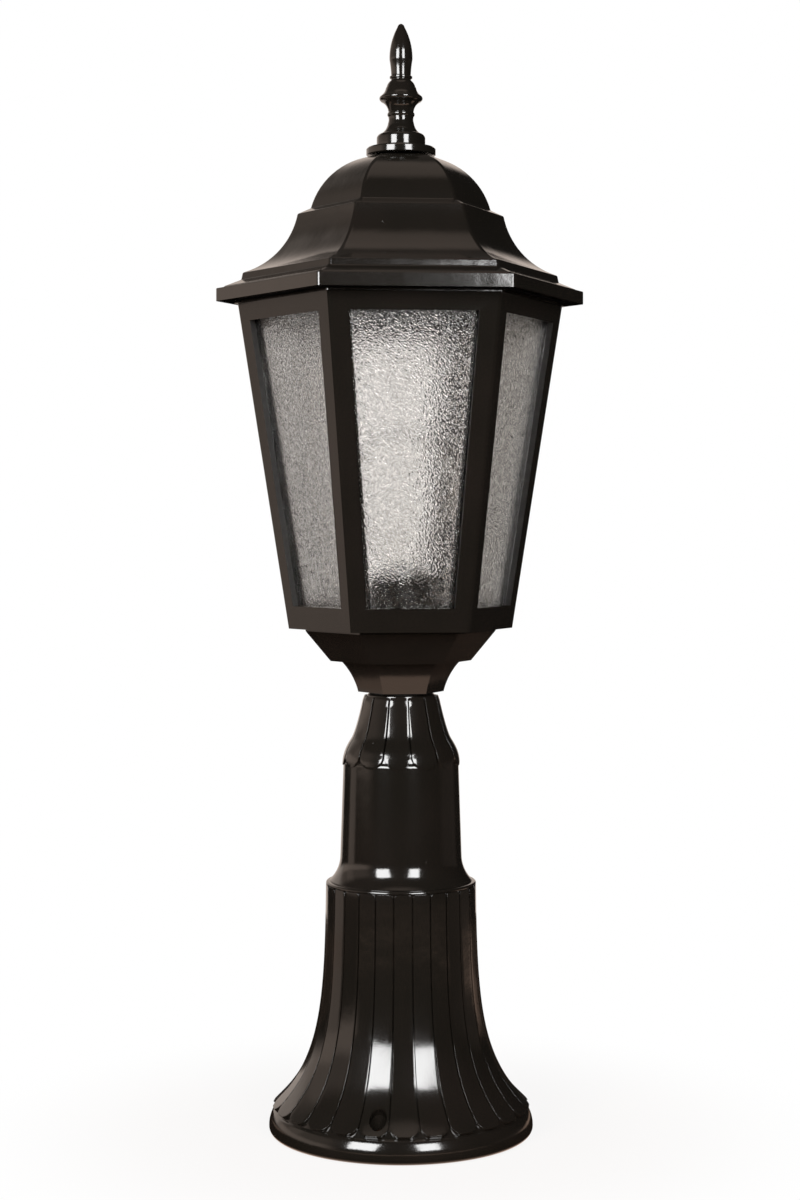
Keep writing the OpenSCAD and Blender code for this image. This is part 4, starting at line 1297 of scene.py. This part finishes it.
@dataclass
class Softened:
    """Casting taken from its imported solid, with its edges rounded as a foundry leaves them."""

    node: str
    body: str
    radius: float
    hull: tuple[tuple[float, float], ...] = ()
    corner: float = 1.3
    sharper: float = 25.0
    shade: float = 28.0

    def build(self, nodes: dict[str, bpy.types.Object]) -> bpy.types.Object:
        """Copies the solid, rounds its upright corners with a rounded hull where it has one, then its edges.

        Args:
            nodes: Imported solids.

        Returns:
            The piece.
        """
        piece = Bench.copy_of(nodes[self.node], self.node + "_casting")
        if self.hull:
            hull = Bench.turned("hull", self.hull, 6)
            Bench.round_hips(hull, self.corner)
            Bench.carve(piece, hull, "INTERSECT")
        Bench.round_edges(piece, self.radius, self.sharper, 3)
        Bench.smooth(piece, self.shade)
        Bench.apply(piece, "WEIGHTED_NORMAL", keep_sharp=True)
        return piece


CAGE_HULL = ((0.0, 260.0), (59.04, 260.0), (88.32, 449.0), (90.02, 449.0), (90.02, 456.0), (0.0, 456.0))
SOFTENED = (
    Softened("cup", "stand", 0.45),
    Softened("cage", "stand", 0.5, CAGE_HULL),
    Softened("finial", "finial", 0.2),
)


@dataclass
class Roof:
    """Hexagonal roof: fascia, ledge, drafted riser, hollow skirt, domed crown and a rib for the gasket."""

    brim: float = 100.0
    foot: float = 450.4
    fascia: float = 457.3
    riser: float = 86.6
    riser_z: float = 461.9
    skirt: float = 85.8
    skirt_z: float = 465.6
    skirt_hollow: float = 41.5
    waist: float = 56.3
    waist_z: float = 497.4
    crown: float = 49.2
    crown_z: float = 500.5
    crown_swell: float = 38.7
    crown_mid: float = 11.9
    top: float = 528.9
    wall: float = 2.5
    rib: tuple[float, float] = (84.4, 88.4)
    rib_z: float = 451.4
    hole: float = 5.5
    boss: float = 13.0
    hip: float = 1.5
    edge: float = 0.55

    def outline(self) -> list[tuple[float, float]]:
        """Section through a corner of the hexagon."""
        w, under = self.wall, self.top - self.wall
        low, high = self.rib
        outside = [(self.brim, self.foot), (self.brim, self.fascia),
                   (self.brim - 3.7, self.fascia + 0.15), (self.brim - 4.2, self.fascia + 1.05),
                   (self.riser, self.riser_z), (self.skirt, self.skirt_z),
                   *arc((self.skirt - 1.5, self.skirt_z + 0.6), (self.waist, self.waist_z),
                        -self.skirt_hollow, 16),
                   *arc((self.crown, self.crown_z), (self.crown_mid, self.top), self.crown_swell, 16),
                   (self.hole, self.top)]
        dome = arc((self.crown_mid + 1.4, under), (self.crown - 2.0, self.crown_z - w),
                   w - self.crown_swell, 10)
        cone = arc((self.waist - 2.2, self.waist_z - w), (self.skirt - 2.4, self.skirt_z - 1.4),
                   self.skirt_hollow + w, 10)
        inside = [(self.hole, under - 3), (self.boss, under - 3), (self.boss, under - 0.1), *dome[1:], *cone,
                  (low, self.riser_z - 1.6), (low, self.rib_z), (high, self.rib_z),
                  (high, self.riser_z - 3.3), (self.brim - 2.9, self.fascia - 1.9),
                  (self.brim - 2.9, self.foot)]
        return outside + inside

    def build(self) -> bpy.types.Object:
        """Models the roof.

        Returns:
            The casting.
        """
        roof = Bench.turned("roof_casting", self.outline(), 6)
        Bench.round_hips(roof, self.hip)
        Bench.round_edges(roof, self.edge, 20.0, 3)
        Bench.smooth(roof, 30.0)
        Bench.apply(roof, "WEIGHTED_NORMAL", keep_sharp=True)
        return roof


# ---------------------------------------------------------------- the lantern


class Lantern:
    """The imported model, its detailed castings and its finishes."""

    def __init__(self, frame: dict) -> None:
        """Keeps the frame and makes the palette."""
        self.nodes: dict[str, bpy.types.Object] = frame["nodes"]
        self.record: dict = frame["record"]
        self.palette = Palette()

    def stand_for(self, piece: bpy.types.Object, body: str, node: str) -> None:
        """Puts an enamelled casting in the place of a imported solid.

        Args:
            piece: Modelled casting.
            body: Body that it moves with.
            node: Solid that it stands for.
        """
        self.palette.paint(piece, Slot.ENAMEL)
        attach(piece, body)
        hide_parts(node)
        LOG.info("%s: %d faces", piece.name, len(piece.data.polygons))

    def castings(self) -> None:
        """Models the enamelled castings."""
        self.stand_for(Bell().build(), "stand", "bell")
        self.stand_for(Column().build(), "stand", "column")
        self.stand_for(Roof().build(), "roof", "roof")
        for casting in SOFTENED:
            self.stand_for(casting.build(self.nodes), casting.body, casting.node)

    def dress(self) -> None:
        """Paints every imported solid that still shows."""
        slots = {row["node"]: Slot(row["material_slot"]) for row in self.record["subparts"]}
        for name, piece in self.nodes.items():
            self.palette.paint(piece, slots[name])


def main() -> None:
    """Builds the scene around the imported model."""
    logging.basicConfig(level=logging.INFO, format="%(name)s: %(message)s")
    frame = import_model()
    Bench.clear()
    lantern = Lantern(frame)
    lantern.castings()
    lantern.dress()
    Studio().build()


if __name__ == "__main__":
    main()
